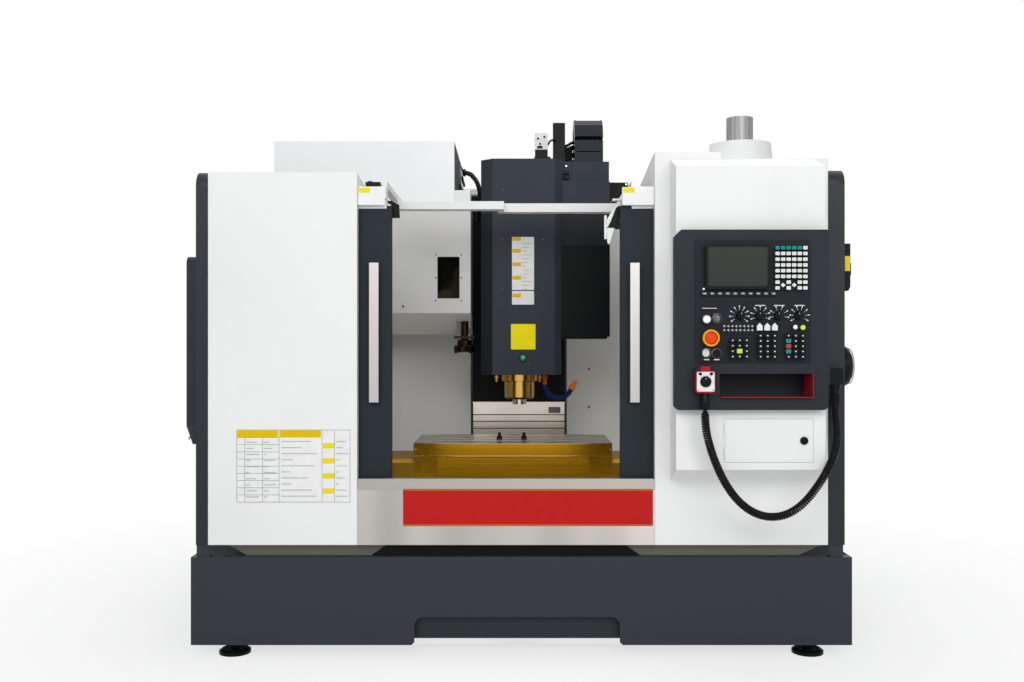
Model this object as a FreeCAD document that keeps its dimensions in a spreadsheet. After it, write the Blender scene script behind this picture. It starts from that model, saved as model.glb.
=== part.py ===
import FreeCAD, Part

import math
import os

import Sketcher

# Vertical machining center in a full enclosure, doors open.
# Millimetres. X to the right, Y into the machine, Z up. The origin is on the floor, under the middle of
# the machine's box. "Depth" is counted from the plane of the white front panels into the machine.

doc = FreeCAD.newDocument("machining_center")
sheet = doc.addObject("Spreadsheet::Sheet", "Dim")
Vector = FreeCAD.Vector
Rotation = FreeCAD.Rotation

TURN_TO_AXIS = {
    "X": Rotation(Vector(0, 1, 0), 90),
    "Y": Rotation(Vector(1, 0, 0), -90),
    "Z": Rotation(),
}


# ---------------------------------------------------------------- dimensions

class Length:
    """A length as text for the document's expressions, together with its value."""

    def __init__(self, text, value):
        self.text = text
        self.value = float(value)

    def __add__(self, other):
        return join(self, "+", other)

    def __radd__(self, other):
        return join(other, "+", self)

    def __sub__(self, other):
        return join(self, "-", other)

    def __rsub__(self, other):
        return join(other, "-", self)

    def __mul__(self, other):
        return join(self, "*", other)

    def __rmul__(self, other):
        return join(other, "*", self)

    def __truediv__(self, other):
        return join(self, "/", other)

    def __neg__(self):
        return Length("(-" + self.text + ")", -self.value)


def as_length(number):
    if isinstance(number, Length):
        return number
    return Length("(" + repr(round(float(number), 6)) + ")", number)


def join(first, sign, second):
    first = as_length(first)
    second = as_length(second)
    results = {
        "+": lambda a, b: a + b,
        "-": lambda a, b: a - b,
        "*": lambda a, b: a * b,
        "/": lambda a, b: a / b,
    }
    value = results[sign](first.value, second.value)
    return Length("(" + first.text + " " + sign + " " + second.text + ")", value)


class Row:
    """The sheet's next free row."""
    number = 0


def size(alias, value):
    """A driving dimension: one row of the sheet."""
    Row.number += 1
    sheet.set("A" + str(Row.number), alias.replace("_", " "))
    sheet.set("B" + str(Row.number), str(value))
    sheet.setAlias("B" + str(Row.number), alias)
    return Length("Dim." + alias, value)


# Whole machine
FRONT = size("front_plane", -1000)
HALF_WIDTH = size("half_width", 1297)
SKIRT_BOTTOM = size("skirt_bottom", 47)
SKIRT_TOP = size("skirt_top", 392)
SKIRT_BACK = size("skirt_back_depth", 1960)
PANEL_BOTTOM = size("panel_bottom", 440)
LEFT_TOP = size("left_panel_top", 1902)
RIGHT_TOP = size("right_panel_top", 1981)
RIGHT_LOW = size("right_panel_low_top", 1955)
RIGHT_STEP = size("right_panel_step", 783)
ROOF_BACK = size("roof_back_depth", 470)
ROOF_BACK_TOP = size("roof_back_top", 1919)
SILL_TOP = size("sill_top", 699)
SHELL_DEPTH = size("shell_depth", 1640)
LINER_BACK = size("liner_back_depth", 1570)
METAL = size("sheet_thickness", 3)
RETURN = size("panel_return", 38)

# Front panels and doors
LEFT_PANEL_LEFT = size("left_panel_left", -1229)
LEFT_PANEL_RIGHT = size("left_panel_right", -645)
RIGHT_PANEL_LEFT = size("right_panel_left", 524)
RIGHT_PANEL_RIGHT = size("right_panel_right", 1202)
SIDE_WIDTH = size("side_panel_width", 66)
DOOR_WIDTH = size("door_width", 590)
DOOR_THICK = size("door_thickness", 34)
DOOR_DEPTH = size("door_depth", 46)
DOOR_BOTTOM = size("door_bottom", 690)
DOOR_TOP = size("door_top", 1777)
LEFT_DOOR_EDGE = size("left_door_edge", -515)
RIGHT_DOOR_EDGE = size("right_door_edge", 393)

# Bed, column and ways
BED_HALF = size("bed_half_width", 430)
BED_TOP = size("bed_top", 470)
COLUMN_FRONT = size("column_front_depth", 1690)
COLUMN_BACK = size("column_back_depth", 1960)
COLUMN_TOP = size("column_top", 2060)
RAIL_WIDTH = size("rail_width", 34)
RAIL_HEIGHT = size("rail_height", 28)
SCREW_RADIUS = size("ballscrew_radius", 16)
SCREW_GAP = size("ballscrew_gap", 0.5)
Z_SCREW_DEPTH = size("z_screw_depth", 1630)

# Table and saddle
TABLE_CENTRE = size("table_centre", -33)
TABLE_HALF = size("table_half_length", 453)
TABLE_FRONT = size("table_front_depth", 640)
TABLE_WIDTH = size("table_width", 450)
TABLE_TOP = size("table_top", 774)
TABLE_SLAB = size("table_slab", 60)
SLOT_WIDTH = size("slot_width", 18)
SLOT_PITCH = size("slot_pitch", 100)
CORNER_ALONG = size("table_corner_along", 110)
CORNER_ACROSS = size("table_corner_across", 24)

# Head
HEAD_FRONT = size("head_front_depth", 857)
HEAD_HALF = size("head_half_width", 200)
HEAD_BOTTOM = size("head_cover_bottom", 1079)
HEAD_TOP = size("head_cover_top", 2109)
SPINDLE_DEPTH = size("spindle_depth", 1040)
SPINDLE_TIP = size("spindle_tip", 929)
Z_COVER_DEPTH = size("z_cover_depth", 1500)

# Operator side
CABINET_LEFT = size("cabinet_left", 582)
CABINET_RIGHT = size("cabinet_right", 1148)
CABINET_DEPTH = size("cabinet_depth", 150)
PENDANT_DEPTH = size("pendant_depth", 195)
PLATE_LEFT = size("plate_left", 646)
PLATE_RIGHT = size("plate_right", 1076)
MPG_X = size("handwheel_x", 676)
SWITCH_RISE = size("switch_box_rise", 42)
CONDUIT_RADIUS = 12
SWITCH_DEPTH = size("switch_depth", 125)
SWITCH_HEIGHT = size("switch_height", 1530)

# Tool changer
RING_RADIUS = size("pot_ring_radius", 265)
DISC_X = size("disc_centre", -545)
DISC_Z = size("disc_height", 1700)
POT_COUNT = 20
ARM_X = size("arm_axis", -271)


def at(depth):
    """Y of a depth behind the front panels."""
    return FRONT + depth


# ---------------------------------------------------------------- shapes

def bind(item, values):
    for name, value in values.items():
        item.setExpression(name, as_length(value).text)


def block(x, y, z):
    """Box between two X, two Y and two Z values."""
    item = doc.addObject("Part::Box", "block")
    bind(item, {
        "Length": as_length(x[1]) - x[0],
        "Width": as_length(y[1]) - y[0],
        "Height": as_length(z[1]) - z[0],
        "Placement.Base.x": x[0],
        "Placement.Base.y": y[0],
        "Placement.Base.z": z[0],
    })
    return item


def rod(axis, start, radius, length):
    """Cylinder from its start point along an axis."""
    item = doc.addObject("Part::Cylinder", "rod")
    item.Placement = FreeCAD.Placement(Vector(), TURN_TO_AXIS[axis])
    bind(item, {
        "Radius": radius,
        "Height": length,
        "Placement.Base.x": start[0],
        "Placement.Base.y": start[1],
        "Placement.Base.z": start[2],
    })
    return item


def cone(axis, start, first_radius, last_radius, length):
    """Cone from its start point along an axis."""
    item = doc.addObject("Part::Cone", "cone")
    item.Placement = FreeCAD.Placement(Vector(), TURN_TO_AXIS[axis])
    bind(item, {
        "Radius1": first_radius,
        "Radius2": last_radius,
        "Height": length,
        "Placement.Base.x": start[0],
        "Placement.Base.y": start[1],
        "Placement.Base.z": start[2],
    })
    return item


def fuse(*items):
    item = doc.addObject("Part::MultiFuse", "fuse")
    item.Shapes = list(items)
    return item


def cut(base, *tools):
    item = doc.addObject("Part::Cut", "cut")
    item.Base = base
    item.Tool = tools[0] if len(tools) == 1 else fuse(*tools)
    return item


def group(*items):
    item = doc.addObject("Part::Compound", "group")
    item.Links = list(items)
    return item


def origin_plane(body, role):
    return [plane for plane in body.Origin.OriginFeatures if plane.Role == role][0]


def outline_sketch(body, plane, points):
    """Closed outline of straight lines with each corner bound to its two coordinates."""
    sketch = body.newObject("Sketcher::SketchObject", "outline")
    sketch.AttachmentSupport = [(origin_plane(body, plane + "_Plane"), "")]
    sketch.MapMode = "FlatFace"
    corners = [(as_length(first), as_length(second)) for first, second in points]
    count = len(corners)
    for index in range(count):
        start = corners[index]
        end = corners[(index + 1) % count]
        line = Part.LineSegment(
            Vector(start[0].value, start[1].value, 0), Vector(end[0].value, end[1].value, 0))
        sketch.addGeometry(line, False)
    for index in range(count):
        sketch.addConstraint(Sketcher.Constraint("Coincident", index, 2, (index + 1) % count, 1))
    for index, corner in enumerate(corners):
        for kind, value in zip(("DistanceX", "DistanceY"), corner):
            number = sketch.addConstraint(Sketcher.Constraint(kind, -1, 1, index, 1, value.value))
            sketch.setExpression("Constraints[" + str(number) + "]", value.text)
    return sketch


def round_corners(body, pad, plane, rounds):
    """Fillets along the pad's direction: a list of (corner, radius)."""
    along = {"XY": 2, "XZ": 1, "YZ": 0}[plane]
    across = [index for index in (0, 1, 2) if index != along]
    base = pad
    for corner, radius in rounds:
        wanted = [as_length(value).value for value in corner]
        names = []
        for number, edge in enumerate(base.Shape.Edges, 1):
            if len(edge.Vertexes) != 2:
                continue
            ends = [vertex.Point for vertex in edge.Vertexes]
            near = all(
                abs(end[across[side]] - wanted[side]) < 0.01 for end in ends for side in (0, 1))
            if near:
                names.append("Edge" + str(number))
        fillet = body.newObject("PartDesign::Fillet", "round")
        fillet.Base = (base, names)
        fillet.setExpression("Radius", as_length(radius).text)
        doc.recompute()
        base = fillet


def prism(plane, points, start, end, rounds=()):
    """Outline in a plane (XY, XZ or YZ), padded from start to end along the third axis."""
    body = doc.addObject("PartDesign::Body", "prism")
    sketch = outline_sketch(body, plane, points)
    pad = body.newObject("PartDesign::Pad", "pad")
    pad.Profile = sketch
    pad.setExpression("Length", (as_length(end) - start).text)
    offset = as_length(start)
    if plane == "XZ":
        offset = -offset
        pad.Reversed = True
    sketch.setExpression("AttachmentOffset.Base.z", offset.text)
    if rounds:
        doc.recompute()
        round_corners(body, pad, plane, rounds)
    return body


def turned(axis, centre, profile):
    """Ring or solid turned about an axis through centre: profile holds (radius, distance along)."""
    body = doc.addObject("PartDesign::Body", "turned")
    sketch = outline_sketch(body, "XZ", profile)
    feature = body.newObject("PartDesign::Revolution", "revolution")
    feature.Profile = sketch
    feature.ReferenceAxis = (sketch, ["V_Axis"])
    feature.Angle = 360
    body.Placement = FreeCAD.Placement(Vector(), TURN_TO_AXIS[axis])
    bind(body, {
        "Placement.Base.x": centre[0],
        "Placement.Base.y": centre[1],
        "Placement.Base.z": centre[2],
    })
    return body


def tray(x, y, z, open_sides):
    """Folded sheet-metal box: thin walls, open on the named sides (-X, +X, -Y, +Y, -Z, +Z)."""
    inner = []
    for axis, span in zip("XYZ", (x, y, z)):
        low = span[0] - 1 if "-" + axis in open_sides else span[0] + METAL
        high = span[1] + 1 if "+" + axis in open_sides else span[1] - METAL
        inner.append((low, high))
    return cut(block(x, y, z), block(*inner))


def window_ring(x, y, z, border):
    """Upright frame in the XZ plane with an open middle."""
    hole = block((x[0] + border, x[1] - border), (y[0] - 1, y[1] + 1), (z[0] + border, z[1] - border))
    return cut(block(x, y, z), hole)


def tube_along(points, radius):
    """Round tube along straight runs joined by arcs, with its length and its tightest bend."""
    edges = []
    bends = []
    start = points[0]
    for before, corner, after in zip(points, points[1:], points[2:]):
        towards = (before - corner).normalize()
        onward = (after - corner).normalize()
        turn = math.pi - towards.getAngle(onward)
        reach = 0.45 * min((before - corner).Length, (after - corner).Length)
        bends.append(reach / math.tan(turn / 2))
        arc_start = corner + towards * reach
        arc_end = corner + onward * reach
        bisector = (towards + onward).normalize()
        centre = corner + bisector * math.hypot(reach, bends[-1])
        middle = centre - bisector * bends[-1]
        edges.append(Part.LineSegment(start, arc_start).toShape())
        edges.append(Part.Arc(arc_start, middle, arc_end).toShape())
        start = arc_end
    edges.append(Part.LineSegment(start, points[-1]).toShape())
    path = Part.Wire(edges)
    section = Part.Wire([Part.Circle(points[0], points[1] - points[0], radius).toShape()])
    item = doc.addObject("Part::Feature", "tube")
    item.Shape = path.makePipeShell([section], True, False)
    return item, path.Length, min(bends)


NODES = []


def node(name, item):
    item.Label = name
    NODES.append(item)
    return item


# ---------------------------------------------------------------- base

def levelling_feet():
    """Round pads with a threaded stud, under the skirt's corners and under the bed."""
    def foot(x, depth, stud_top):
        pad = turned("Z", (x, at(depth), 0), [(0, 0), (62, 0), (62, 12), (50, 20), (0, 20)])
        nut = rod("Z", (x, at(depth), 19), 17, 12)
        stud = rod("Z", (x, at(depth), 30), 10, as_length(stud_top) - 30)
        return fuse(pad, nut, stud)

    feet = []
    for x in (-1140, 1140):
        for depth in (65, 1870):
            feet.append(foot(x, depth, SKIRT_BOTTOM))
    for x in (-370, 370):
        for depth in (400, 1150, 2040):
            feet.append(foot(x, depth, 80))
    node("levelling_feet", group(*feet))


def bed_casting():
    """Ribbed bed: side profile, two Y ways on top, screw trench, side pockets and a column seat."""
    seat = COLUMN_FRONT - 60
    side = [(at(330), 80), (at(2120), 80), (at(2120), 560), (at(seat), 560), (at(seat), BED_TOP),
            (at(330), BED_TOP)]
    body = prism("YZ", side, -BED_HALF, BED_HALF)
    trench = block((-200, 200), (at(360), at(seat - 40)), (330, BED_TOP + 1))
    screw_bore = rod("Y", (0, at(329), 400), 17, 40)
    pockets = []
    for depth in (420, 790, 1160, 1700):
        for side_start in (-BED_HALF - 1, BED_HALF - 59):
            pockets.append(block((side_start, side_start + 60), (at(depth), at(depth + 260)), (150, 400)))
    node("bed_casting", cut(body, trench, screw_bore, *pockets))


def column_casting():
    """Tapered column with two raised ways, a lightened back and a motor seat on top."""
    outline = [(-330, 560), (330, 560), (330, 760), (190, COLUMN_TOP), (-190, COLUMN_TOP), (-330, 760)]
    shaft = prism("XZ", outline, at(COLUMN_FRONT), at(COLUMN_BACK))
    ways = [block((x - 34, x + 34), (at(COLUMN_FRONT - 14), at(COLUMN_FRONT + 1)), (700, COLUMN_TOP))
            for x in (-140, 140)]
    hollows = [block((-110, 110), (at(COLUMN_BACK - 200), at(COLUMN_BACK + 1)), (low, low + 330))
               for low in (720, 1130, 1540)]
    node("column_casting", cut(fuse(shaft, *ways), *hollows))


def linear_rails():
    """Y rails on the bed and Z rails on the column."""
    half = RAIL_WIDTH / 2
    rails = []
    for x in (-300, 300):
        rails.append(block((x - half, x + half), (at(350), at(1620)), (BED_TOP, BED_TOP + RAIL_HEIGHT)))
    for x in (-140, 140):
        front = COLUMN_FRONT - 14 - RAIL_HEIGHT
        rails.append(block((x - half, x + half), (at(front), at(COLUMN_FRONT - 14)), (740, COLUMN_TOP)))
    node("linear_rails", group(*rails))


def axis_motors():
    """Servo motor of the Z screw on the column and of the Y screw in front of the bed."""
    def motor(axis, start, sign):
        body = rod(axis, start, 62, 130)
        flange_start = list(start)
        flange_start["XYZ".index(axis)] = start["XYZ".index(axis)] + (130 if sign > 0 else -16)
        return fuse(body, rod(axis, flange_start, 72, 16))

    z_motor = motor("Z", (0, at(Z_SCREW_DEPTH), COLUMN_TOP + 40), -1)
    bracket = block((-80, 80), (at(Z_SCREW_DEPTH - 75), at(Z_SCREW_DEPTH + 150)),
                    (COLUMN_TOP, COLUMN_TOP + 24))
    y_motor = motor("Y", (0, at(184), 400), 1)
    node("axis_motors", group(fuse(z_motor, bracket), y_motor))


def ballscrew(name, axis, start, length):
    """Screw shaft with a stepped end; the thread's helix isn't cut."""
    shaft = rod(axis, start, SCREW_RADIUS, length)
    end = list(start)
    end["XYZ".index(axis)] = start["XYZ".index(axis)] + length
    node(name, fuse(shaft, rod(axis, end, SCREW_RADIUS - 4, 20)))


def skirt_panels():
    """Dark base skirt round three sides, with the notch for the tank in front."""
    notch_left = -420
    notch_right = 386
    notch_top = 158
    notch_corner = 36
    flare = 12
    outline = [
        (-HALF_WIDTH, SKIRT_BOTTOM), (notch_left - flare, SKIRT_BOTTOM),
        (notch_left, SKIRT_BOTTOM + flare), (notch_left, notch_top),
        (notch_right, notch_top), (notch_right, SKIRT_BOTTOM + flare),
        (notch_right + flare, SKIRT_BOTTOM), (HALF_WIDTH, SKIRT_BOTTOM),
        (HALF_WIDTH, SKIRT_TOP), (-HALF_WIDTH, SKIRT_TOP)]
    front = prism("XZ", outline, at(0), at(METAL),
                  [((notch_left, notch_top), notch_corner), ((notch_right, notch_top), notch_corner)])
    span = (at(METAL), at(SKIRT_BACK))
    height = (SKIRT_BOTTOM, SKIRT_TOP)
    left = block((-HALF_WIDTH, -HALF_WIDTH + METAL), span, height)
    right = block((HALF_WIDTH - METAL, HALF_WIDTH), span, height)
    lip = [(at(0), SKIRT_TOP), (at(40), SKIRT_TOP), (at(40), SKIRT_TOP - METAL), (at(0), SKIRT_TOP - METAL)]
    top_lip = prism("YZ", lip, -HALF_WIDTH, HALF_WIDTH)
    floors = []
    for x in ((-HALF_WIDTH, -1000), (1000, HALF_WIDTH)):
        for depth in (METAL, SKIRT_BACK - 180):
            floors.append(block(x, (at(depth), at(depth + 180)), (SKIRT_BOTTOM, SKIRT_BOTTOM + METAL)))
    backs = [block(x, (at(SKIRT_BACK - METAL), at(SKIRT_BACK)), height)
             for x in ((-HALF_WIDTH, -460), (460, HALF_WIDTH))]
    legs = []
    for x in ((-1276, -1226), (1214, 1264)):
        for depth in (6, 820, 1580):
            legs.append(block(x, (at(depth), at(depth + 50)), (SKIRT_BOTTOM + METAL, PANEL_BOTTOM)))
    sills = [block((x, x + 22), (at(4), at(SKIRT_BACK - METAL)), (SKIRT_BOTTOM + METAL, SKIRT_BOTTOM + 43))
             for x in (-HALF_WIDTH + METAL, HALF_WIDTH - METAL - 22)]
    ties = [block(x, (at(depth), at(depth + 50)), (SKIRT_BOTTOM + METAL, SKIRT_BOTTOM + 40))
            for x in ((-1275, -1225), (1213, 1275)) for depth in (6, 820, 1580)]
    node("skirt_panels", fuse(front, left, right, top_lip, *floors, *backs, *sills, *ties, *legs))


def coolant_tank():
    """Open coolant tank behind the skirt's notch, its splash guard, and the two chutes above it."""
    tank_top = 330
    tank = tray((-1180, 1180), (at(44), at(190)), (62, tank_top), ("+Z",))
    feet = [block((x, x + 60), (at(60), at(180)), (SKIRT_BOTTOM + METAL, 63)) for x in (-1120, 1060)]
    guard = prism("XZ", [(-606, tank_top - METAL), (487, tank_top - METAL), (403, PANEL_BOTTOM - 4),
                         (-516, PANEL_BOTTOM - 4)], at(174), at(174 + METAL))
    guard_fold = block((-606, 487), (at(174), at(190)), (tank_top - METAL, tank_top))

    def funnel(top_left, top_right, bottom_left, bottom_right):
        outer = [(bottom_left, SKIRT_TOP - 60), (bottom_right, SKIRT_TOP - 60), (top_right, PANEL_BOTTOM),
                 (top_left, PANEL_BOTTOM)]
        inner = [(bottom_left + METAL * 2, SKIRT_TOP - 61), (bottom_right - METAL * 2, SKIRT_TOP - 61),
                 (top_right - METAL * 2, PANEL_BOTTOM + 1), (top_left + METAL * 2, PANEL_BOTTOM + 1)]
        return cut(prism("XZ", outer, at(46), at(186)), prism("XZ", inner, at(49), at(183)))

    node("coolant_tank", group(fuse(tank, guard, guard_fold, *feet), funnel(-1178, -519, -982, -609),
                               funnel(405, 1208, 490, 970)))


# ---------------------------------------------------------------- enclosure

def front_panels():
    """Front panels: sheets with folded returns, the right one stepped, and the walls over the doors."""
    span = (at(0), at(RETURN))
    left = tray((LEFT_PANEL_LEFT, LEFT_PANEL_RIGHT), span, (PANEL_BOTTOM, LEFT_TOP), ("+Y",))
    right = tray((RIGHT_PANEL_LEFT, RIGHT_PANEL_RIGHT), span, (PANEL_BOTTOM, RIGHT_TOP), ("+Y",))
    step = block((RIGHT_STEP, RIGHT_PANEL_RIGHT + 1), (at(-1), at(RETURN + 1)), (RIGHT_LOW, RIGHT_TOP + 1))
    ledge = block((RIGHT_STEP - METAL, RIGHT_PANEL_RIGHT), span, (RIGHT_LOW - METAL, RIGHT_LOW))
    riser = block((RIGHT_STEP - METAL, RIGHT_STEP), span, (RIGHT_LOW - METAL, RIGHT_TOP))
    wall_bottom = 1851
    left_wall = prism("YZ", [(at(30), wall_bottom), (at(440), wall_bottom), (at(440), 1860), (at(30), 1900)],
                      LEFT_PANEL_RIGHT - METAL, LEFT_PANEL_RIGHT)
    right_wall = prism("YZ", [(at(30), wall_bottom), (at(ROOF_BACK), wall_bottom),
                              (at(ROOF_BACK), ROOF_BACK_TOP - METAL), (at(30), RIGHT_TOP - 4)],
                       RIGHT_PANEL_LEFT, RIGHT_PANEL_LEFT + METAL)
    node("front_panels", group(fuse(left, left_wall), fuse(cut(right, step), ledge, riser, right_wall)))


def side_panels():
    """Dark side trays with a rounded upper front corner, the raised service cover, and the rear sheets."""
    corner = 60
    depth = (at(0), at(SHELL_DEPTH))

    def side(x, top, open_side):
        outline = [(depth[0], PANEL_BOTTOM), (depth[1], PANEL_BOTTOM), (depth[1], top), (depth[0], top)]
        outer = prism("YZ", outline, x[0], x[1], [((depth[0], top), corner)])
        low = x[0] - 1 if open_side == "-X" else x[0] + METAL
        high = x[1] + 1 if open_side == "+X" else x[1] - METAL
        gap = METAL
        inner_outline = [(depth[0] + gap, PANEL_BOTTOM + gap), (depth[1] - gap, PANEL_BOTTOM + gap),
                         (depth[1] - gap, as_length(top) - gap), (depth[0] + gap, as_length(top) - gap)]
        corner_in = (depth[0] + gap, as_length(top) - gap)
        return cut(outer, prism("YZ", inner_outline, low, high, [(corner_in, corner - 3)]))

    left_x = (LEFT_PANEL_LEFT - 48, LEFT_PANEL_LEFT)
    right_x = (RIGHT_PANEL_RIGHT, RIGHT_PANEL_RIGHT + SIDE_WIDTH)
    cover = [(at(70), 900), (at(150), 820), (at(640), 820), (at(640), 1578), (at(70), 1578)]
    service_cover = prism("YZ", cover, LEFT_PANEL_LEFT - 107, LEFT_PANEL_LEFT - 48,
                          [((at(70), 1578), 30), ((at(640), 1578), 30)])
    rear = (at(SHELL_DEPTH), at(SHELL_DEPTH + 25))
    rear_height = (PANEL_BOTTOM, LEFT_TOP)
    rear_left = tray((left_x[0], -BED_HALF - 10), rear, rear_height, ("-Y",))
    rear_right = tray((BED_HALF + 10, right_x[1]), rear, rear_height, ("-Y",))
    node("side_panels", group(fuse(side(left_x, LEFT_TOP + 6, "+X"), service_cover),
                              side(right_x, LEFT_TOP + 15, "-X"), rear_left, rear_right))


def front_sill():
    """Stainless sill under the doors, folded with a sloping upper strip, and the doors' lower rail."""
    profile = [(at(0), PANEL_BOTTOM), (at(METAL), PANEL_BOTTOM), (at(METAL), 655), (at(8), SILL_TOP - METAL),
               (at(RETURN), SILL_TOP - METAL), (at(RETURN), SILL_TOP), (at(5), SILL_TOP), (at(0), 656)]
    face = prism("YZ", profile, LEFT_PANEL_RIGHT + 0.5, RIGHT_PANEL_LEFT - 0.5)
    rail = prism("YZ", [(at(42), 655), (at(86), 655), (at(86), 690), (at(83), 690), (at(83), 662),
                        (at(45), 662), (at(45), 690), (at(42), 690)], *TRACK_SPAN)
    shelf = block((LEFT_PANEL_RIGHT + 1, RIGHT_PANEL_LEFT - 1), (at(METAL), at(42)), (640, 643))
    hem = block((LEFT_PANEL_RIGHT + 1, RIGHT_PANEL_LEFT - 1), (at(42), at(45)), (640, 656))
    node("front_sill", fuse(face, rail, shelf, hem))


# From the left end to the right end of the doors' rail
TRACK_SPAN = (-1186, 1150)


def roof_frame():
    """Overlapping cross beams, side rails, door header and the doors' upper guides."""
    left = block((-564, -72), (at(450), at(520)), (1815, 1850))
    right = block((-100, 468), (at(520), at(586)), (1812, 1850))
    rails = [block((x - 15, x + 15), (at(60), at(600)), (1850, 1876)) for x in (-549, 453)]
    parts = [left, right, *rails]
    for span in ((TRACK_SPAN[0], -534), (438, TRACK_SPAN[1])):
        parts.append(block(span, (at(60), at(89)), (1802, 1850)))
        guide = [(at(42), 1765), (at(45), 1765), (at(45), 1799), (at(83), 1799), (at(83), 1765),
                 (at(86), 1765), (at(86), 1802), (at(42), 1802)]
        parts.append(prism("YZ", guide, *span))
    for span in ((-644, -534), (438, 523)):
        parts.append(block(span, (at(20), at(60)), (1803, 1849)))
    parts += [block((x, x + 60), (at(RETURN), at(60)), (1810, 1840)) for x in (-1000, 900)]
    node("roof_frame", fuse(*parts))


def inner_liner():
    """Inner side walls, back walls beside the column, and the sloping chip floor."""
    wall = 1188
    span = (at(100), at(LINER_BACK))
    back = (at(LINER_BACK), at(LINER_BACK + METAL))
    left_wall = block((-wall, METAL - wall), span, (540, 1850))
    right_wall = block((wall - METAL, wall), span, (540, 1850))
    backs = [block(x, back, (450, 1850)) for x in ((-wall, -440), (440, wall))]
    backs += [block(x, back, (500, 1850)) for x in ((-440, -262), (262, 440))]
    slope = [(440, 450), (wall, 540), (wall, 543), (440, 453)]
    mirrored = [(-x, z) for x, z in slope]
    floors = [prism("XZ", points, *span) for points in (slope, mirrored)]
    hangers = []
    for x in ((LEFT_PANEL_LEFT - 45, -wall), (wall, RIGHT_PANEL_RIGHT + SIDE_WIDTH - METAL)):
        for depth in (200, 1400):
            for z in (600, 1780):
                hangers.append(block(x, (at(depth), at(depth + 40)), (z, z + 40)))
    node("inner_liner", fuse(left_wall, right_wall, *backs, *floors, *hangers))


def electrical_cabinet():
    """Cabinet on the column's back, open to its door, its mounting plate, and the junction box on an arm."""
    near = COLUMN_BACK + 12
    shell = tray((-560, 560), (at(near), at(near + 250)), (590, 1950), ("+Y",))
    plate = block((-500, 500), (at(near + 18), at(near + 21)), (650, 1890))
    stands = [block((x - 10, x + 10), (at(near + 2), at(near + 19)), (z - 10, z + 10))
              for x in (-450, 450) for z in (700, 1840)]
    brackets = [block((x - 30, x + 30), (at(COLUMN_BACK), at(near)), (z - 30, z + 30))
                for x in (-150, 150) for z in (660, 1480)]
    box_back = 1380
    junction = block((442, 566), (at(1300), at(box_back)), (1966, 2064))
    arm = block((495, 535), (at(1340), at(near + 1)), (1920, 1944))
    post = block((495, 535), (at(1340), at(box_back - 4)), (1943, 1967))
    conduits = []
    bend_depth = near.value + 75
    for x in (466, 545):
        route = ((box_back + 0.2, 2030), (bend_depth, 2030), (bend_depth, 1950.2))
        points = [Vector(x, FRONT.value + depth, z) for depth, z in route]
        conduits.append(tube_along(points, CONDUIT_RADIUS)[0])
    node("electrical_cabinet", group(fuse(shell, plate, junction, arm, post, *stands, *brackets), *conduits))


def cabinet_door():
    """Rear door of the electrical cabinet with a folded edge and its handle."""
    near = COLUMN_BACK + 263
    leaf = tray((-556, 556), (at(near), at(near + 19)), (594, 1946), ("-Y",))
    handle = block((-520, -495), (at(near + 18), at(near + 27)), (1200, 1330))
    knuckles = [rod("Z", (561, at(near + 4), z), 4, 60) for z in (700, 1250, 1800)]
    webs = [block((555, 562), (at(near + 2), at(near + 6)), (z, z + 60)) for z in (700, 1250, 1800)]
    node("cabinet_door", fuse(leaf, handle, *knuckles, *webs))


def extraction_spigot():
    """Stepped roof behind the right panel, with a collar and a sheet-steel stub."""
    x = 911
    y = at(250)
    bore = 51
    fall = prism("YZ", [(at(RETURN), RIGHT_TOP - METAL), (at(ROOF_BACK), ROOF_BACK_TOP - METAL),
                        (at(ROOF_BACK), ROOF_BACK_TOP), (at(RETURN), RIGHT_TOP)],
                 RIGHT_PANEL_LEFT, RIGHT_STEP)
    flat = block((RIGHT_STEP, RIGHT_PANEL_RIGHT), (at(RETURN), at(ROOF_BACK)),
                 (RIGHT_LOW - METAL, RIGHT_LOW))
    riser = prism("YZ", [(at(RETURN), ROOF_BACK_TOP - METAL), (at(ROOF_BACK), ROOF_BACK_TOP - METAL),
                         (at(ROOF_BACK), RIGHT_LOW), (at(220), RIGHT_LOW), (at(RETURN), RIGHT_TOP)],
                  RIGHT_STEP - METAL, RIGHT_STEP)
    base = turned("Z", (x, y, RIGHT_LOW - 1), [
        (bore, 0), (137, 0), (127, 101), (bore + 3, 113), (bore + 3, 212), (bore, 212)])
    posts = [block((px, px + 20), (at(ROOF_BACK - 20), at(ROOF_BACK)), (1850, top - METAL + 1))
             for px, top in ((530, ROOF_BACK_TOP), (1165, RIGHT_LOW))]
    opening = rod("Z", (x, y, RIGHT_LOW - 10), bore, 30)
    node("extraction_spigot", cut(fuse(fall, flat, riser, base, *posts), opening))


def door(prefix, left_edge):
    """Sliding leaf: folded frame with a window, and its bar handle."""
    y = (at(DOOR_DEPTH), at(DOOR_DEPTH + DOOR_THICK))
    x = (left_edge, left_edge + DOOR_WIDTH)
    window_x = (left_edge + 140, left_edge + DOOR_WIDTH - 140)
    window_z = (1060, 1660)
    frame = cut(block(x, y, (DOOR_BOTTOM, DOOR_TOP)), block(window_x, (y[0] - 1, y[1] + 1), window_z))
    rebate = block((window_x[0] - 15, window_x[1] + 15), (y[0] + 12, y[0] + 20),
                   (window_z[0] - 15, window_z[1] + 15))
    rollers = []
    for offset in (60, 480):
        rollers.append(block((left_edge + offset, left_edge + offset + 50), (y[0] + 5, y[0] + 29),
                             (664, DOOR_BOTTOM)))
        rollers.append(block((left_edge + offset, left_edge + offset + 50), (y[0] + 5, y[0] + 29),
                             (DOOR_TOP, 1796)))
    node(prefix + "_door", fuse(cut(frame, rebate), *rollers))
    node(prefix + "_door_window", block(
        (window_x[0] - 14.5, window_x[1] + 14.5), (y[0] + 12.5, y[0] + 19.5),
        (window_z[0] - 14.5, window_z[1] + 14.5)))


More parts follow.
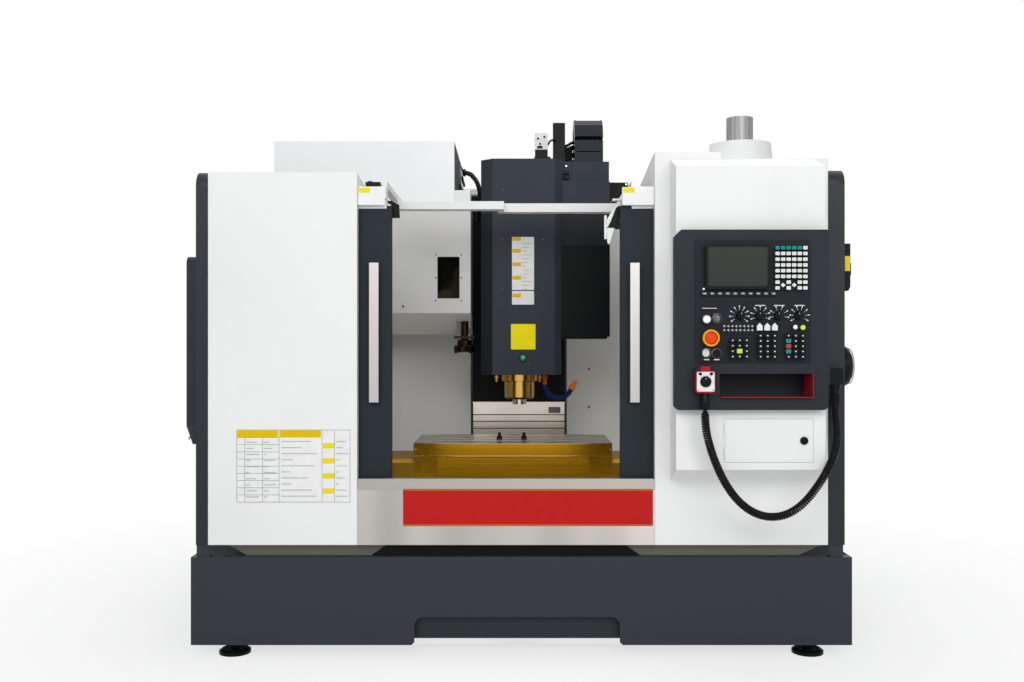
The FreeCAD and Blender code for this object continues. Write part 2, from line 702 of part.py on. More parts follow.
def door_handle(prefix, x):
    """Flat stainless grip on two stand-offs."""
    face = at(DOOR_DEPTH)
    grip = block((x, x + 38), (face - 34, face - 26), (998, 1548))
    feet = [block((x + 9, x + 29), (face - 26, face), (z, z + 30)) for z in (1030, 1486)]
    node(prefix + "_door_handle", fuse(grip, *feet))


# ---------------------------------------------------------------- operator side

def operator_cabinet():
    """Deep cabinet in front of the right panel: sloped top and underside, latch pocket, tray pocket."""
    front = at(-CABINET_DEPTH)
    outline = [(front, 753), (at(0), 695), (at(0), RIGHT_LOW - 3), (front, 1901)]
    body = prism("YZ", outline, CABINET_LEFT, CABINET_RIGHT)
    pocket = block((778, 1089), (front - 1, at(-20)), (793, 935))
    tray_pocket = block((735, 1085), (front - 1, at(-60)), (1026, 1121))
    node("operator_cabinet", cut(body, pocket, tray_pocket))


def access_door():
    """Small flap under the pendant, hinged on its left edge."""
    front = at(-CABINET_DEPTH)
    leaf = block((769, 1098), (front - 4, front - 0.5), (784, 944))
    hole = rod("Y", (1064, front - 5, 864), 12.4, 6)
    knuckles = [rod("Z", (766, front - 3.4, z), 3, 40) for z in (800, 888)]
    webs = [block((766, 770), (front - 3.9, front - 2), (z, z + 40)) for z in (800, 888)]
    node("access_door", fuse(cut(leaf, hole), *knuckles, *webs))


def access_latch():
    """Quarter-turn latch of the flap."""
    front = at(-CABINET_DEPTH)
    head = rod("Y", (1064, front - 9, 864), 15, 4.6)
    shank = rod("Y", (1064, front - 4.6, 864), 12, 8)
    cam = block((1058, 1086), (front + 3, front + 6), (858, 870))
    slot = block((1061.5, 1066.5), (front - 10, front - 7), (855, 873))
    node("access_latch", fuse(cut(head, slot), shank, cam))


# Centre X, centre Z and shaft hole radius of each control that moves on the operator plate
CONTROL_BORES = (
    (700.3, 1251.2, 14), (684.3, 1195.3, 12.5), (721.2, 1194.2, 12.5), (723.4, 1324.2, 8),
    (813.5, 1333.8, 8), (882.8, 1333.8, 8), (952.8, 1333.8, 8), (1028, 1333.8, 8))


def pendant_housing():
    """Moulded pendant: chamfered upper left corner, rounded lower corners, deep tray recess."""
    left = 570
    right = 1144
    bottom = 982
    top = 1656
    chamfer = 26
    outline = [(left, bottom), (right, bottom), (right, top), (left + chamfer, top), (left, top - chamfer)]
    body = prism("XZ", outline, at(-PENDANT_DEPTH), at(-CABINET_DEPTH),
                 [((left, bottom), 20), ((right, bottom), 20), ((right, top), 8)])
    recess = block((738, 1082), (at(-PENDANT_DEPTH - 1), at(-CABINET_DEPTH + 1)), (1029, 1118))
    bores = [rod("Y", (x, at(-PENDANT_DEPTH - 1), z), radius + 1, 14) for x, z, radius in CONTROL_BORES]
    tray_walls = tray((735.5, 1084.5), (at(-CABINET_DEPTH), at(-61)), (1026.5, 1120.5), ("-Y",))
    holder = tray((MPG_X - 38, MPG_X + 38), (at(-PENDANT_DEPTH - 22), at(-PENDANT_DEPTH)), (1052, 1099.5),
                  ("+Z",))
    node("pendant_housing", fuse(cut(body, recess, *bores), tray_walls, holder))


def key_block(left, top, columns, rows, pitch, width):
    """Rows of flat keys that stand on a plate."""
    face = at(-PENDANT_DEPTH - 4)
    keys = []
    for column in range(columns):
        for row in range(rows):
            x = left + column * pitch
            z = top - row * pitch
            keys.append(block((x, x + width), (face - 3, face), (z - width, z)))
    return keys


def operator_plates():
    """Control unit plate with bezel, screen and keys, and the operator plate with lamps and key fields."""
    face = -PENDANT_DEPTH
    unit = block((PLATE_LEFT, PLATE_RIGHT), (at(face - 4), at(face)), (1401, 1616))
    bezel = window_ring((682, 916), (at(face - 9), at(face - 4)), (1431, 1596), 8)
    screen = block((690, 908), (at(face - 6), at(face - 4)), (1439, 1588))
    unit_keys = key_block(943, 1592, 6, 8, 20.6, 17)
    unit_keys += key_block(675, 1421, 10, 1, 28.5, 15)
    plate = block((PLATE_LEFT, PLATE_RIGHT), (at(face - 4), at(face)), (1158, 1393))
    bores = [rod("Y", (x, at(face - 5), z), radius, 6) for x, z, radius in CONTROL_BORES]
    collar = turned("Y", (700.3, at(face - 12), 1251.2), [(25, 0), (30, 4), (30, 8), (25, 8)])
    lamps = [rod("Y", (x, at(face - 9), z), radius, 6)
             for x, z, radius in ((684.3, 1320.4, 15), (1012.8, 1293.3, 9), (1040.3, 1293.3, 9))]
    plate_keys = key_block(775, 1243, 3, 4, 22, 17)
    plate_keys += key_block(882, 1262, 3, 5, 20, 15)
    plate_keys += key_block(988, 1262, 3, 5, 20, 15)
    plate_keys += key_block(743, 1297, 6, 2, 20, 14)
    plate_keys += key_block(878, 1300, 3, 1, 28, 19)
    node("operator_plates", group(fuse(unit, bezel, screen, *unit_keys),
                                  fuse(cut(plate, *bores), collar, *lamps, *plate_keys)))


def estop_button():
    """Mushroom head on its stem."""
    x, z = CONTROL_BORES[0][:2]
    face = at(-PENDANT_DEPTH - 4)
    node("estop_button", turned("Y", (x, face - 30, z), [
        (0, 0), (14, 0.5), (21, 4), (24, 10), (21, 16), (13.5, 17), (13.5, 30), (0, 30)]))


def push_button(name, index):
    """Flat push-button with a stem."""
    x, z = CONTROL_BORES[index][:2]
    face = at(-PENDANT_DEPTH - 4)
    node(name, turned("Y", (x, face - 10, z), [
        (0, 0), (12, 0), (14.5, 2), (14.5, 6), (12, 6), (12, 12), (0, 12)]))


def turn_knob(name, index, radius):
    """Round knob with a pointer ridge and a shaft in the plate."""
    x, z, bore = CONTROL_BORES[index]
    face = at(-PENDANT_DEPTH - 4)
    skirt = turned("Y", (x, face - 18, z), [
        (0, 0), (radius - 4, 0), (radius - 3, 11), (radius, 13), (radius, 17), (bore - 0.5, 17),
        (bore - 0.5, 19), (0, 19)])
    ridge = block((x - 2.5, x + 2.5), (face - 23, face - 17), (z - radius + 5, z + radius - 5))
    node(name, fuse(skirt, ridge))


def mpg_handset():
    """Hand-wheel box hanging in its holder, with its cord bell."""
    back = at(-PENDANT_DEPTH - 24)
    front = at(-PENDANT_DEPTH - 50)
    left = MPG_X - 35
    right = MPG_X + 35
    corners = [(left, 1048), (right, 1048), (right, 1146), (left, 1146)]
    body = prism("XZ", corners, front, back, [(corner, 10) for corner in corners])
    bell = turned("Z", (MPG_X, at(-PENDANT_DEPTH - 37), 988), [
        (0, 0), (16.5, 0), (18, 30), (11, 60), (0, 60)])
    bore = rod("Y", (MPG_X, front - 1, 1090), 6.3, 20)
    hook = block((MPG_X - 26, MPG_X + 26), (back - 0.5, back + 21), (1100, 1110))
    ledge = block((MPG_X - 26, MPG_X + 26), (back + 15, back + 21), (1060, 1101))
    node("mpg_handset", fuse(cut(body, bore), bell, hook, ledge))


def mpg_dial():
    """Detented hand-wheel on its shaft."""
    front = at(-PENDANT_DEPTH - 50)
    node("mpg_dial", turned("Y", (MPG_X, front - 5, 1090), [
        (0, 0), (17, 0), (19.5, 1.5), (20, 4.6), (6, 4.6), (6, 18), (0, 18)]))


# Points of the hand-wheel cord's route: X, depth, Z
CORD_ROUTE = (
    (676, -232, 988), (676, -232, 930), (690, -230, 862), (716, -226, 786), (754, -221, 708),
    (802, -215, 644), (860, -209, 600), (925, -204, 582), (990, -200, 592), (1048, -197, 630),
    (1096, -193, 686), (1136, -187, 744), (1170, -168, 800), (1194, -134, 850), (1210, -90, 892),
    (1217, -52, 938), (1218, -33, 986), (1218, -32, 1030))
CORD_RADIUS = 16


def mpg_cord():
    """Curly cord as one round tube of its outer diameter."""
    points = [Vector(x, FRONT.value + depth, z) for x, depth, z in CORD_ROUTE]
    cord, length, tightest = tube_along(points, CORD_RADIUS)
    filled = cord.Shape.Volume / (math.pi * CORD_RADIUS ** 2 * length)
    print("cord length", round(length, 1), "tightest bend", round(tightest))
    print("cord volume over section times length", round(filled, 4))
    node("mpg_cord", cord)


def side_fittings():
    """Black fittings on the right side: main switch box, round fan housing and cord gland."""
    side = RIGHT_PANEL_RIGHT + SIDE_WIDTH
    box = prism("XZ", [(side, 1438), (side + 34, 1440), (side + SWITCH_RISE, 1456),
                       (side + SWITCH_RISE, 1628), (side, 1628)], at(60), at(190))
    bore = rod("X", (side + SWITCH_RISE - 8, at(SWITCH_DEPTH), SWITCH_HEIGHT), 9, 12)
    housing = turned("X", (side, at(165), 1138), [
        (0, 0), (84, 0), (84, 45), (76, 60), (60, 68), (0, 68)])
    gland_x = CORD_ROUTE[-1][0]
    gland_depth = CORD_ROUTE[-1][1]
    gland_bottom = CORD_ROUTE[-1][2]
    nipple = turned("Z", (gland_x, at(gland_depth), gland_bottom), [
        (0, 0), (17, 0), (20, 4), (20, 26), (24, 28), (24, 42), (0, 42)])
    elbow = block((gland_x - 26, gland_x + 26), (at(-58), at(0)), (gland_bottom + 42, gland_bottom + 104))
    node("side_fittings", group(cut(box, bore), housing, fuse(nipple, elbow)))


def main_switch():
    """Rotary grip of the main switch."""
    face = RIGHT_PANEL_RIGHT + SIDE_WIDTH + SWITCH_RISE
    disc = rod("X", (face + 0.5, at(SWITCH_DEPTH), SWITCH_HEIGHT), 26, 6)
    shaft = rod("X", (face - 6, at(SWITCH_DEPTH), SWITCH_HEIGHT), 8.5, 8)
    grip = block((face + 6, face + 22), (at(SWITCH_DEPTH - 7), at(SWITCH_DEPTH + 7)),
                 (SWITCH_HEIGHT - 24, SWITCH_HEIGHT + 24))
    node("main_switch", fuse(disc, shaft, grip))


# ---------------------------------------------------------------- cross slides

def nut_block(x, y, z, axis, centre):
    """Housing of a ballscrew nut with a clear bore."""
    start = list(centre)
    index = "XYZ".index(axis)
    start[index] = (x, y, z)[index][0] - 1
    length = as_length((x, y, z)[index][1]) - (x, y, z)[index][0] + 2
    return cut(block(x, y, z), rod(axis, start, SCREW_RADIUS + SCREW_GAP, length))


def saddle():
    """Cross-shaped casting on four Y carriages, with the X rails, X screw trench and X motor."""
    front = 700
    back = 1040
    rail_top = BED_TOP + RAIL_HEIGHT
    deck = (rail_top + 12, 600)
    body = block((-640, 640), (at(front), at(back)), deck)
    trench = block((-600, 641), (at(830), at(910)), (560, 601))
    relief = [block((x - 110, x + 110), (at(front - 1), at(back + 1)), (rail_top, rail_top + 60))
              for x in (-520, 520)]
    carriages = []
    for x in (-300, 300):
        for depth in (720, 960):
            carriage = block((x - 38, x + 38), (at(depth), at(depth + 80)), (BED_TOP + 6, rail_top + 13))
            slot = block((x - 18, x + 18), (at(depth - 1), at(depth + 81)), (BED_TOP, rail_top + 0.5))
            carriages.append(cut(carriage, slot))
    nut = nut_block((-45, 45), (at(840), at(930)), (350, deck[0] + 1), "Y", (0, at(0), 400))
    rails = [block((-640, 640), (at(depth), at(depth + RAIL_WIDTH)), (600, 600 + RAIL_HEIGHT))
             for depth in (730, 976)]
    motor = rod("X", (650, at(870), 596), 55, 150)
    motor_plate = block((636, 652), (at(810), at(930)), (530, 655))
    node("saddle", fuse(cut(body, trench, *relief), nut, motor_plate, motor, *carriages, *rails))


def x_cover_ends():
    """Fixed end hoods of the X way covers, on brackets of the saddle."""
    def hood(x, bracket):
        outline = [(at(672), 565), (at(672), 680), (at(690), 692), (at(1040), 692), (at(1058), 680),
                   (at(1058), 565), (at(1055), 565), (at(1055), 679), (at(1039), 689), (at(691), 689),
                   (at(675), 679), (at(675), 565)]
        wall = block(bracket, (at(694), at(1036)), (612, 689.5))
        foot = block(bracket, (at(700), at(1034)), (565, 613))
        return fuse(prism("YZ", outline, *x), wall, foot)

    motor_gap = block((630, 660), (at(800), at(940)), (500, 662))
    node("x_cover_ends", group(hood((-1105, -640), (-648, -640)),
                               cut(hood((640, 1105), (640, 648)), motor_gap)))


def x_cover(name, x):
    """Sliding hood between the fixed hood and the table."""
    outline = [(at(666), 560), (at(666), 683), (at(686), 697), (at(1044), 697), (at(1064), 683),
               (at(1064), 560), (at(1061), 560), (at(1061), 682), (at(1043), 694), (at(687), 694),
               (at(669), 682), (at(669), 560)]
    node(name, prism("YZ", outline, *x))


def table():
    """T-slotted table with chamfered corners on four X carriages, and the nut of the X screw."""
    left = TABLE_CENTRE - TABLE_HALF
    right = TABLE_CENTRE + TABLE_HALF
    front = at(TABLE_FRONT)
    back = at(TABLE_FRONT + TABLE_WIDTH)
    outline = [(left + CORNER_ALONG, front), (right - CORNER_ALONG, front), (right, front + CORNER_ACROSS),
               (right, back - CORNER_ACROSS), (right - CORNER_ALONG, back), (left + CORNER_ALONG, back),
               (left, back - CORNER_ACROSS), (left, front + CORNER_ACROSS)]
    slab = prism("XY", outline, TABLE_TOP - TABLE_SLAB, TABLE_TOP)
    middle = front + TABLE_WIDTH / 2
    slots = []
    for number in (-1, 0, 1):
        y = middle + number * SLOT_PITCH
        slots.append(block((left - 1, right + 1), (y - SLOT_WIDTH / 2, y + SLOT_WIDTH / 2),
                           (TABLE_TOP - 21, TABLE_TOP + 1)))
        slots.append(block((left - 1, right + 1), (y - 15, y + 15), (TABLE_TOP - 34, TABLE_TOP - 20)))
    carriages = []
    for x in (TABLE_CENTRE - 110, TABLE_CENTRE + 110):
        for depth in (730, 976):
            carriage = block((x - 45, x + 45), (at(depth - 22), at(depth + RAIL_WIDTH + 22)),
                             (606, 600 + RAIL_HEIGHT + 30))
            slot = block((x - 46, x + 46), (at(depth - 1), at(depth + RAIL_WIDTH + 1)),
                         (605, 600 + RAIL_HEIGHT + 0.5))
            carriages.append(cut(carriage, slot))
    web = block((TABLE_CENTRE - 155, TABLE_CENTRE + 155), (at(708), at(1032)),
                (600 + RAIL_HEIGHT + 28, TABLE_TOP - TABLE_SLAB + 1))
    nut = nut_block((TABLE_CENTRE - 45, TABLE_CENTRE + 45), (at(838), at(902)), (566, 660), "X",
                    (0, at(870), 596))
    node("table", fuse(cut(slab, *slots), web, nut, *carriages))


def table_apron():
    """Folded guard round the table's front and back, open at the ends for the way covers."""
    left = TABLE_CENTRE - TABLE_HALF
    right = TABLE_CENTRE + TABLE_HALF
    front = at(TABLE_FRONT)
    back = at(TABLE_FRONT + TABLE_WIDTH)

    height = (560, TABLE_TOP - TABLE_SLAB)

    def skirt(near, step):
        """One long side: straight in the middle, bent back along both chamfered corners."""
        inner = near + step * METAL
        points = [(left, near + step * CORNER_ACROSS), (left + CORNER_ALONG, near),
                  (right - CORNER_ALONG, near), (right, near + step * CORNER_ACROSS),
                  (right - 6, near + step * CORNER_ACROSS), (right - CORNER_ALONG, inner),
                  (left + CORNER_ALONG, inner), (left + 6, near + step * CORNER_ACROSS)]
        return prism("XY", points, *height)

    node("table_apron", group(skirt(front, 1), skirt(back, -1)))


# ---------------------------------------------------------------- head

def headstock():
    """Headstock casting on four Z carriages, with the nut, the spindle drive and its motor."""
    back = Z_SCREW_DEPTH - 22
    body = prism("YZ", [(at(940), 1090), (at(1150), 1090), (at(1300), 1180), (at(back), 1180),
                        (at(back), 1580), (at(1180), 1580), (at(940), 1500)], -150, 150)
    bore = rod("Z", (0, at(SPINDLE_DEPTH), 1060), 62, 600)
    carriages = []
    for x in (-140, 140):
        for z in (1230, 1490):
            rail_front = COLUMN_FRONT - 14 - RAIL_HEIGHT
            carriage = block((x - 42, x + 42), (at(back - 1), at(rail_front + 22)), (z, z + 90))
            slot = block((x - RAIL_WIDTH / 2 - 1, x + RAIL_WIDTH / 2 + 1),
                         (at(rail_front - 0.5), at(rail_front + 23)), (z - 1, z + 91))
            carriages.append(cut(carriage, slot))
    nut = nut_block((-40, 40), (at(back - 1), at(Z_SCREW_DEPTH + 34)), (1330, 1430), "Z",
                    (0, at(Z_SCREW_DEPTH), 0))
    drive = rod("Z", (0, at(SPINDLE_DEPTH), 1500), 95, 420)
    shoulder = block((-110, 110), (at(930), at(1180)), (1498, 1530))
    drive_bore = rod("Z", (0, at(SPINDLE_DEPTH), 1400), 62, 130)
    node("headstock", fuse(cut(fuse(body, shoulder), bore), cut(drive, drive_bore), nut, *carriages))


def head_cover():
    """Folded cover round the head with bevelled front corners, and the stepped box on its right."""
    left = -186
    front_left, front_right = -131, 167
    front = at(HEAD_FRONT)
    back = at(1330)

    def plan(gap):
        near = front + gap
        return [(front_left, near), (front_right, near), (HEAD_HALF - gap, at(HEAD_FRONT + 33) + gap),
                (HEAD_HALF - gap, back), (left + gap, back), (left + gap, at(HEAD_FRONT + 50) + gap)]

    outer = prism("XY", plan(0), HEAD_BOTTOM, HEAD_TOP)
    inner = prism("XY", plan(METAL), HEAD_BOTTOM + METAL, HEAD_TOP - METAL)
    nose_hole = rod("Z", (0, at(SPINDLE_DEPTH), HEAD_BOTTOM - 1), 95, 6)
    floor_slot = block((-155, 155), (at(930), back + 1), (HEAD_BOTTOM - 1, HEAD_BOTTOM + 4))
    shell = cut(outer, inner, nose_hole, floor_slot)
    mounts = [block(x, (at(1100), at(1160)), (z, z + 60)) for z in (1240, 1400)
              for x in ((left + 2, -150), (150, HEAD_HALF - 2))]
    lower = block((HEAD_HALF - 0.5, 433), (at(900), at(1250)), (1260, 1900))
    upper = block((HEAD_HALF - 0.5, 433), (at(912), at(1250)), (1899, 2010))
    crown = block((HEAD_HALF + 54, 433), (at(940), at(1200)), (2009, HEAD_TOP))
    socket_panel = block((HEAD_HALF - 0.5, HEAD_HALF + 55), (at(1140), at(1200)), (2009, HEAD_TOP))
    ledge = block((HEAD_HALF + 6, 420), (at(903), at(1240)), (1250, 1261))
    cable_post = block((166, 225), (at(1040), at(1085)), (HEAD_TOP - 1, 2318))
    valve = block((76, 137), (at(974), at(1026)), (HEAD_TOP - 1, 2255))
    node("head_cover", fuse(shell, lower, upper, crown, socket_panel, ledge, cable_post, valve, *mounts))


def spindle_housing():
    """Flanged spindle cartridge that shows below the head cover."""
    node("spindle_housing", turned("Z", (0, at(SPINDLE_DEPTH), 955), [
        (40.5, 0), (62, 0), (74, 10), (74, 88), (88, 90), (88, 135), (61.5, 135), (61.5, 400), (40.5, 400)]))


def spindle_shaft():
    """Spindle nose with its taper socket and drive keys, and the drawbar end of the shaft."""
    shaft = turned("Z", (0, at(SPINDLE_DEPTH), SPINDLE_TIP), [
        (22.2, 0), (34, 0), (34, 24), (40, 28), (40, 560), (0, 560), (0, 90), (12, 68)])
    keys = [block((x - 8, x + 8), (at(SPINDLE_DEPTH - 8), at(SPINDLE_DEPTH + 8)),
                  (SPINDLE_TIP - 4, SPINDLE_TIP + 2)) for x in (-30, 30)]
    node("spindle_shaft", fuse(shaft, *keys))


def z_cover_top():
    """Black panel fitted round the headstock, with the uppermost steel slat of the Z way cover."""
    panel = block((-248, 248), (at(Z_COVER_DEPTH), at(Z_COVER_DEPTH + 3)), (905, 1420))
    notch = block((-150, 150), (at(Z_COVER_DEPTH - 1), at(Z_COVER_DEPTH + 4)), (1180, 1421))
    slat = block((-246, 246), (at(Z_COVER_DEPTH + 4), at(Z_COVER_DEPTH + 6)), (841, 912))
    fold = block((-246, 246), (at(Z_COVER_DEPTH + 2), at(Z_COVER_DEPTH + 7)), (905, 911))
    node("z_cover_top", fuse(cut(panel, notch), slat, fold))


def cover_slat(name, depth, bottom, top, back_depth=None):
    """Steel slat with a folded lower edge, and brackets to the column where it is fixed."""
    plate = block((-246, 246), (at(depth), at(depth + 2)), (bottom, top))
    fold = block((-246, 246), (at(depth - 2), at(depth + 1)), (bottom, bottom + 3))
    brackets = []
    if back_depth is not None:
        brackets = [block((x - 20, x + 20), (at(depth + 1), at(back_depth)), (bottom + 20, bottom + 50))
                    for x in (-205, 205)]
    node(name, fuse(plate, fold, *brackets))


def coolant_nozzle():
    """Segmented coolant hose, bent up from a fitting under the head."""
    bend = 63
    x = 124
    y = at(1000)
    z = 1026
    fitting = rod("Z", (x, y, z), 11, HEAD_BOTTOM - z)
    hose = doc.addObject("Part::Torus", "hose")
    hose.Placement = FreeCAD.Placement(
        Vector(), Rotation(Vector(1, 0, 0), 90).multiply(Rotation(Vector(0, 0, 1), 180)))
    bind(hose, {"Radius1": bend, "Radius2": 9, "Placement.Base.x": x + bend, "Placement.Base.y": y,
                "Placement.Base.z": z})
    hose.Angle3 = 150
    tip = doc.addObject("Part::Cone", "tip")
    tip.Placement = FreeCAD.Placement(Vector(), Rotation(Vector(0, 1, 0), -30))
    bind(tip, {"Radius1": 10, "Radius2": 5, "Height": 34,
               "Placement.Base.x": x + bend * (1 + math.cos(math.radians(30))),
               "Placement.Base.y": y, "Placement.Base.z": z - bend * math.sin(math.radians(30))})
    node("coolant_nozzle", fuse(fitting, hose, tip))


def cable_chain():
    """Loop of the cable chain over the head, as one closed outline."""
    outline = [(at(1000), HEAD_TOP), (at(1060), HEAD_TOP), (at(1060), 2240), (at(1100), 2281),
               (at(1140), 2240), (at(1140), 2130), (at(1200), 2130), (at(1200), 2260),
               (at(1120), 2341), (at(1080), 2341), (at(1000), 2260)]
    node("cable_chain", prism("YZ", outline, 270, 410))


# ---------------------------------------------------------------- tool changer

# Points of the lead from the hood to the column's side: X, depth, Z
MAGAZINE_LEAD = (
    (-292.8, 1590, 2162), (-262, 1590, 2154), (-224, 1590, 2106), (-209, 1600, 2030), (-218, 1650, 1950),
    (-232, 1730, 1890), (-232, 1769.8, 1880))


def magazine_cover():
    """Cover over the tool disc: deep hood, front with a window, sloping underside, and the lead out."""
    hood_back = 1636
    inner_x = (-847, -239)
    upper = tray((-1179, -314), (at(900), at(hood_back)), (1880, 2200), ("-Z", "+Y"))
    shell = prism("YZ", [(at(897), 1374), (at(1180), 1273), (at(1180), 1883), (at(897), 1883)], -850, -236)
    room = prism("YZ", [(at(900), 1376.1), (at(1181), 1275.8), (at(1181), 1884), (at(900), 1884)], *inner_x)
    window = block((-395, -289), (at(890), at(902)), (1444, 1644))
    arm_slot = block((-312, -238.5), (at(1000), at(1080)), (1290, 1360))
    back_plate = block((-1176, -317), (at(hood_back - METAL), at(hood_back)), (1883, 2197))
    shelf = (COLUMN_TOP, COLUMN_TOP + 30)
    bracket = block((-430, -360), (at(1179), at(1780)), shelf)
    foot = block((-361, -95), (at(1710), at(1780)), shelf)
    spine = block((-600, -490), (at(1120), at(1180)), (1600, COLUMN_TOP + 30))
    crossbar = block((-600, -360), (at(1120), at(1180)), shelf)
    cam_box = block((-335, -239), (at(990), at(1090)), (1392, 1515))
    cam_tie = block((-335, -245), (at(1089), at(1178)), (1455, 1515))
    rear_strip = block(inner_x, (at(1177), at(1180)), (1500, 1884))
    gland = rod("X", (-315, at(1590), 2162), 18, 22)
    opened = cut(fuse(upper, cut(shell, room)), window, arm_slot)
    cover = fuse(opened, back_plate, bracket, foot, spine, crossbar, cam_box, cam_tie, rear_strip, gland)
    points = [Vector(x, FRONT.value + depth, z) for x, depth, z in MAGAZINE_LEAD]
    socket = block((-244, -220), (at(1770), at(1830)), (1850, 1910))
    node("magazine_cover", group(cover, tube_along(points, CONDUIT_RADIUS)[0], socket))


def magazine_disc():
    """Disc with a ring of tool pots on its shaft."""
    centre = (DISC_X, at(1050), DISC_Z)
    disc = turned("Y", centre, [(0, 0), (250, 0), (250, 12), (60, 12), (60, 69.5), (0, 69.5)])
    pots = []
    for number in range(POT_COUNT):
        angle = 2 * math.pi * number / POT_COUNT
        x = DISC_X + (RING_RADIUS - 30) * math.cos(angle)
        z = DISC_Z + (RING_RADIUS - 30) * math.sin(angle)
        pots.append(turned("Y", (x, at(965), z), [(12, 0), (32, 0), (32, 30), (27, 34), (27, 86), (12, 86)]))
    node("magazine_disc", fuse(disc, *pots))


def tool_arm():
    """Double arm with open grippers on its vertical shaft."""
    arm = block((ARM_X - 30, ARM_X + 30), (at(900), at(1180)), (1186, 1216))
    hub = rod("Z", (ARM_X, at(1040), 1180), 52, 80)
    shaft = rod("Z", (ARM_X, at(1040), 1259), 30, 132)
    grips = []
    for depth in (880, 1200):
        grips.append(rod("Z", (ARM_X, at(depth), 1188), 44, 26))
    jaws = [rod("Z", (ARM_X, at(depth), 1180), 26, 40) for depth in (872, 1208)]
    node("tool_arm", cut(fuse(arm, hub, shaft, *grips), *jaws))


# ---------------------------------------------------------------- build

def build():
    levelling_feet()
    bed_casting()
    column_casting()
    linear_rails()
    axis_motors()
    ballscrew("y_ballscrew", "Y", (0, at(332), 400), 1200)
    ballscrew("z_ballscrew", "Z", (0, at(Z_SCREW_DEPTH), 800), 1238)
    ballscrew("x_ballscrew", "X", (-560, at(870), 596), 1175)
    skirt_panels()
    coolant_tank()
    front_panels()
    side_panels()
    front_sill()
    roof_frame()
    inner_liner()
    electrical_cabinet()
    cabinet_door()
    extraction_spigot()
    door("left", LEFT_DOOR_EDGE - DOOR_WIDTH)
    door("right", RIGHT_DOOR_EDGE)
    door_handle("left", -600)
    door_handle("right", 428)
    operator_cabinet()
    access_door()
    access_latch()
    pendant_housing()
    operator_plates()
    estop_button()
    push_button("white_button", 1)
    push_button("dark_button", 2)
    turn_knob("key_switch", 3, 15)
    for number in range(1, 5):
        turn_knob("selector_" + str(number), 3 + number, 17)
    mpg_handset()
    mpg_dial()
    mpg_cord()
    side_fittings()
    main_switch()
    saddle()
    x_cover_ends()
    x_cover("x_cover_left", (-935, -340))
    x_cover("x_cover_right", (286, 890))
    table()
    table_apron()
    headstock()
    head_cover()
    spindle_housing()
    spindle_shaft()
    z_cover_top()
    cover_slat("z_slat_sliding", Z_COVER_DEPTH + 9, 805, 1085)
    cover_slat("z_slat_fixed", Z_COVER_DEPTH + 14, 722, 1060, COLUMN_FRONT)
    coolant_nozzle()
    cable_chain()
    magazine_cover()
    magazine_disc()
    tool_arm()
    doc.recompute()


def export():
    for item in doc.Objects:
        if "Invalid" in item.State or "Error" in item.State:
            raise RuntimeError(item.Name + " failed: " + item.getStatusString())
    for item in NODES:
        if item.Shape.isNull() or not item.Shape.isValid():
            raise RuntimeError(item.Label + " has no valid shape")
    os.makedirs("parts", exist_ok=True)
    for item in NODES:
        item.Shape.exportStep("parts/" + item.Label + ".step")
    print(len(NODES), "nodes written")


build()
export()
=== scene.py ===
import math

import bmesh
import bpy
from mathutils import Matrix, Vector


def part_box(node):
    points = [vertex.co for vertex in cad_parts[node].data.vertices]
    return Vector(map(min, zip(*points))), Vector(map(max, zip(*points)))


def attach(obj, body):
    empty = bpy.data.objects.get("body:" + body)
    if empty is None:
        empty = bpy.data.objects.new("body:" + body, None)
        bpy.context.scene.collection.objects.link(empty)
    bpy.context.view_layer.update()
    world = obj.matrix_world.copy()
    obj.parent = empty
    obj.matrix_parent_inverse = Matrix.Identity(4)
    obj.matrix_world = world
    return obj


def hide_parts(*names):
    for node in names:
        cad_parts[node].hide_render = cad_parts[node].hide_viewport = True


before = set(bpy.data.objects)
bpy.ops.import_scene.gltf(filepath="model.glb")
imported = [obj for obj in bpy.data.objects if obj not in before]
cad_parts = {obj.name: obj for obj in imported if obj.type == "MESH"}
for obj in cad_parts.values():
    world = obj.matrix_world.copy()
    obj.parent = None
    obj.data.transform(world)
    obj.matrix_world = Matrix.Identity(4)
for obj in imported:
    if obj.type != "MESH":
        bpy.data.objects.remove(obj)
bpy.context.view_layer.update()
MM = 0.001


# ---------------------------------------------------------------- camera, floor and light

EYE = Vector((-0.037, -5.0, 1.240))
FOCAL_LENGTH = 35.86
SENSOR_WIDTH = 36.0
WHITE = (1.0, 1.0, 1.0, 1.0)
FILL_COLOUR, FILL_STRENGTH = (0.93, 0.96, 1.0, 1.0), 0.30
FLOOR_COLOUR, FLOOR_RADIUS = (0.93, 0.93, 0.93, 1.0), 40.0
SHADOW_END, WHITE_START = 1.4, 3.4
SHADOW_WHITE = 0.70
SOFTBOXES = (
    ("key", (-1.5, -6.4, 4.1), (0, -0.9, 1.0), (3.6, 2.6), 133),
    ("front_fill", (2.0, -6.4, 3.2), (0, -0.9, 1.1), (3.6, 2.6), 108),
    ("top", (0.0, 0.0, 5.5), (0, -0.1, 1.0), (2.6, 2.6), 110),
    ("rear_fill", (0.5, 6.5, 4.0), (0, 1.0, 1.2), (5.0, 4.0), 150),
)


def add_object(name, data, place=(0, 0, 0)):
    """An object with the given data, put into the scene."""
    thing = bpy.data.objects.new(name, data)
    thing.location = place
    bpy.context.scene.collection.objects.link(thing)
    return thing


def add_camera():
    """Level camera in front of the machine, a little left of its middle."""
    data = bpy.data.cameras.new("camera")
    data.lens = FOCAL_LENGTH
    data.sensor_width = SENSOR_WIDTH
    camera = add_object("camera", data, EYE)
    camera.rotation_euler = (math.radians(90), 0, 0)
    bpy.context.scene.camera = camera


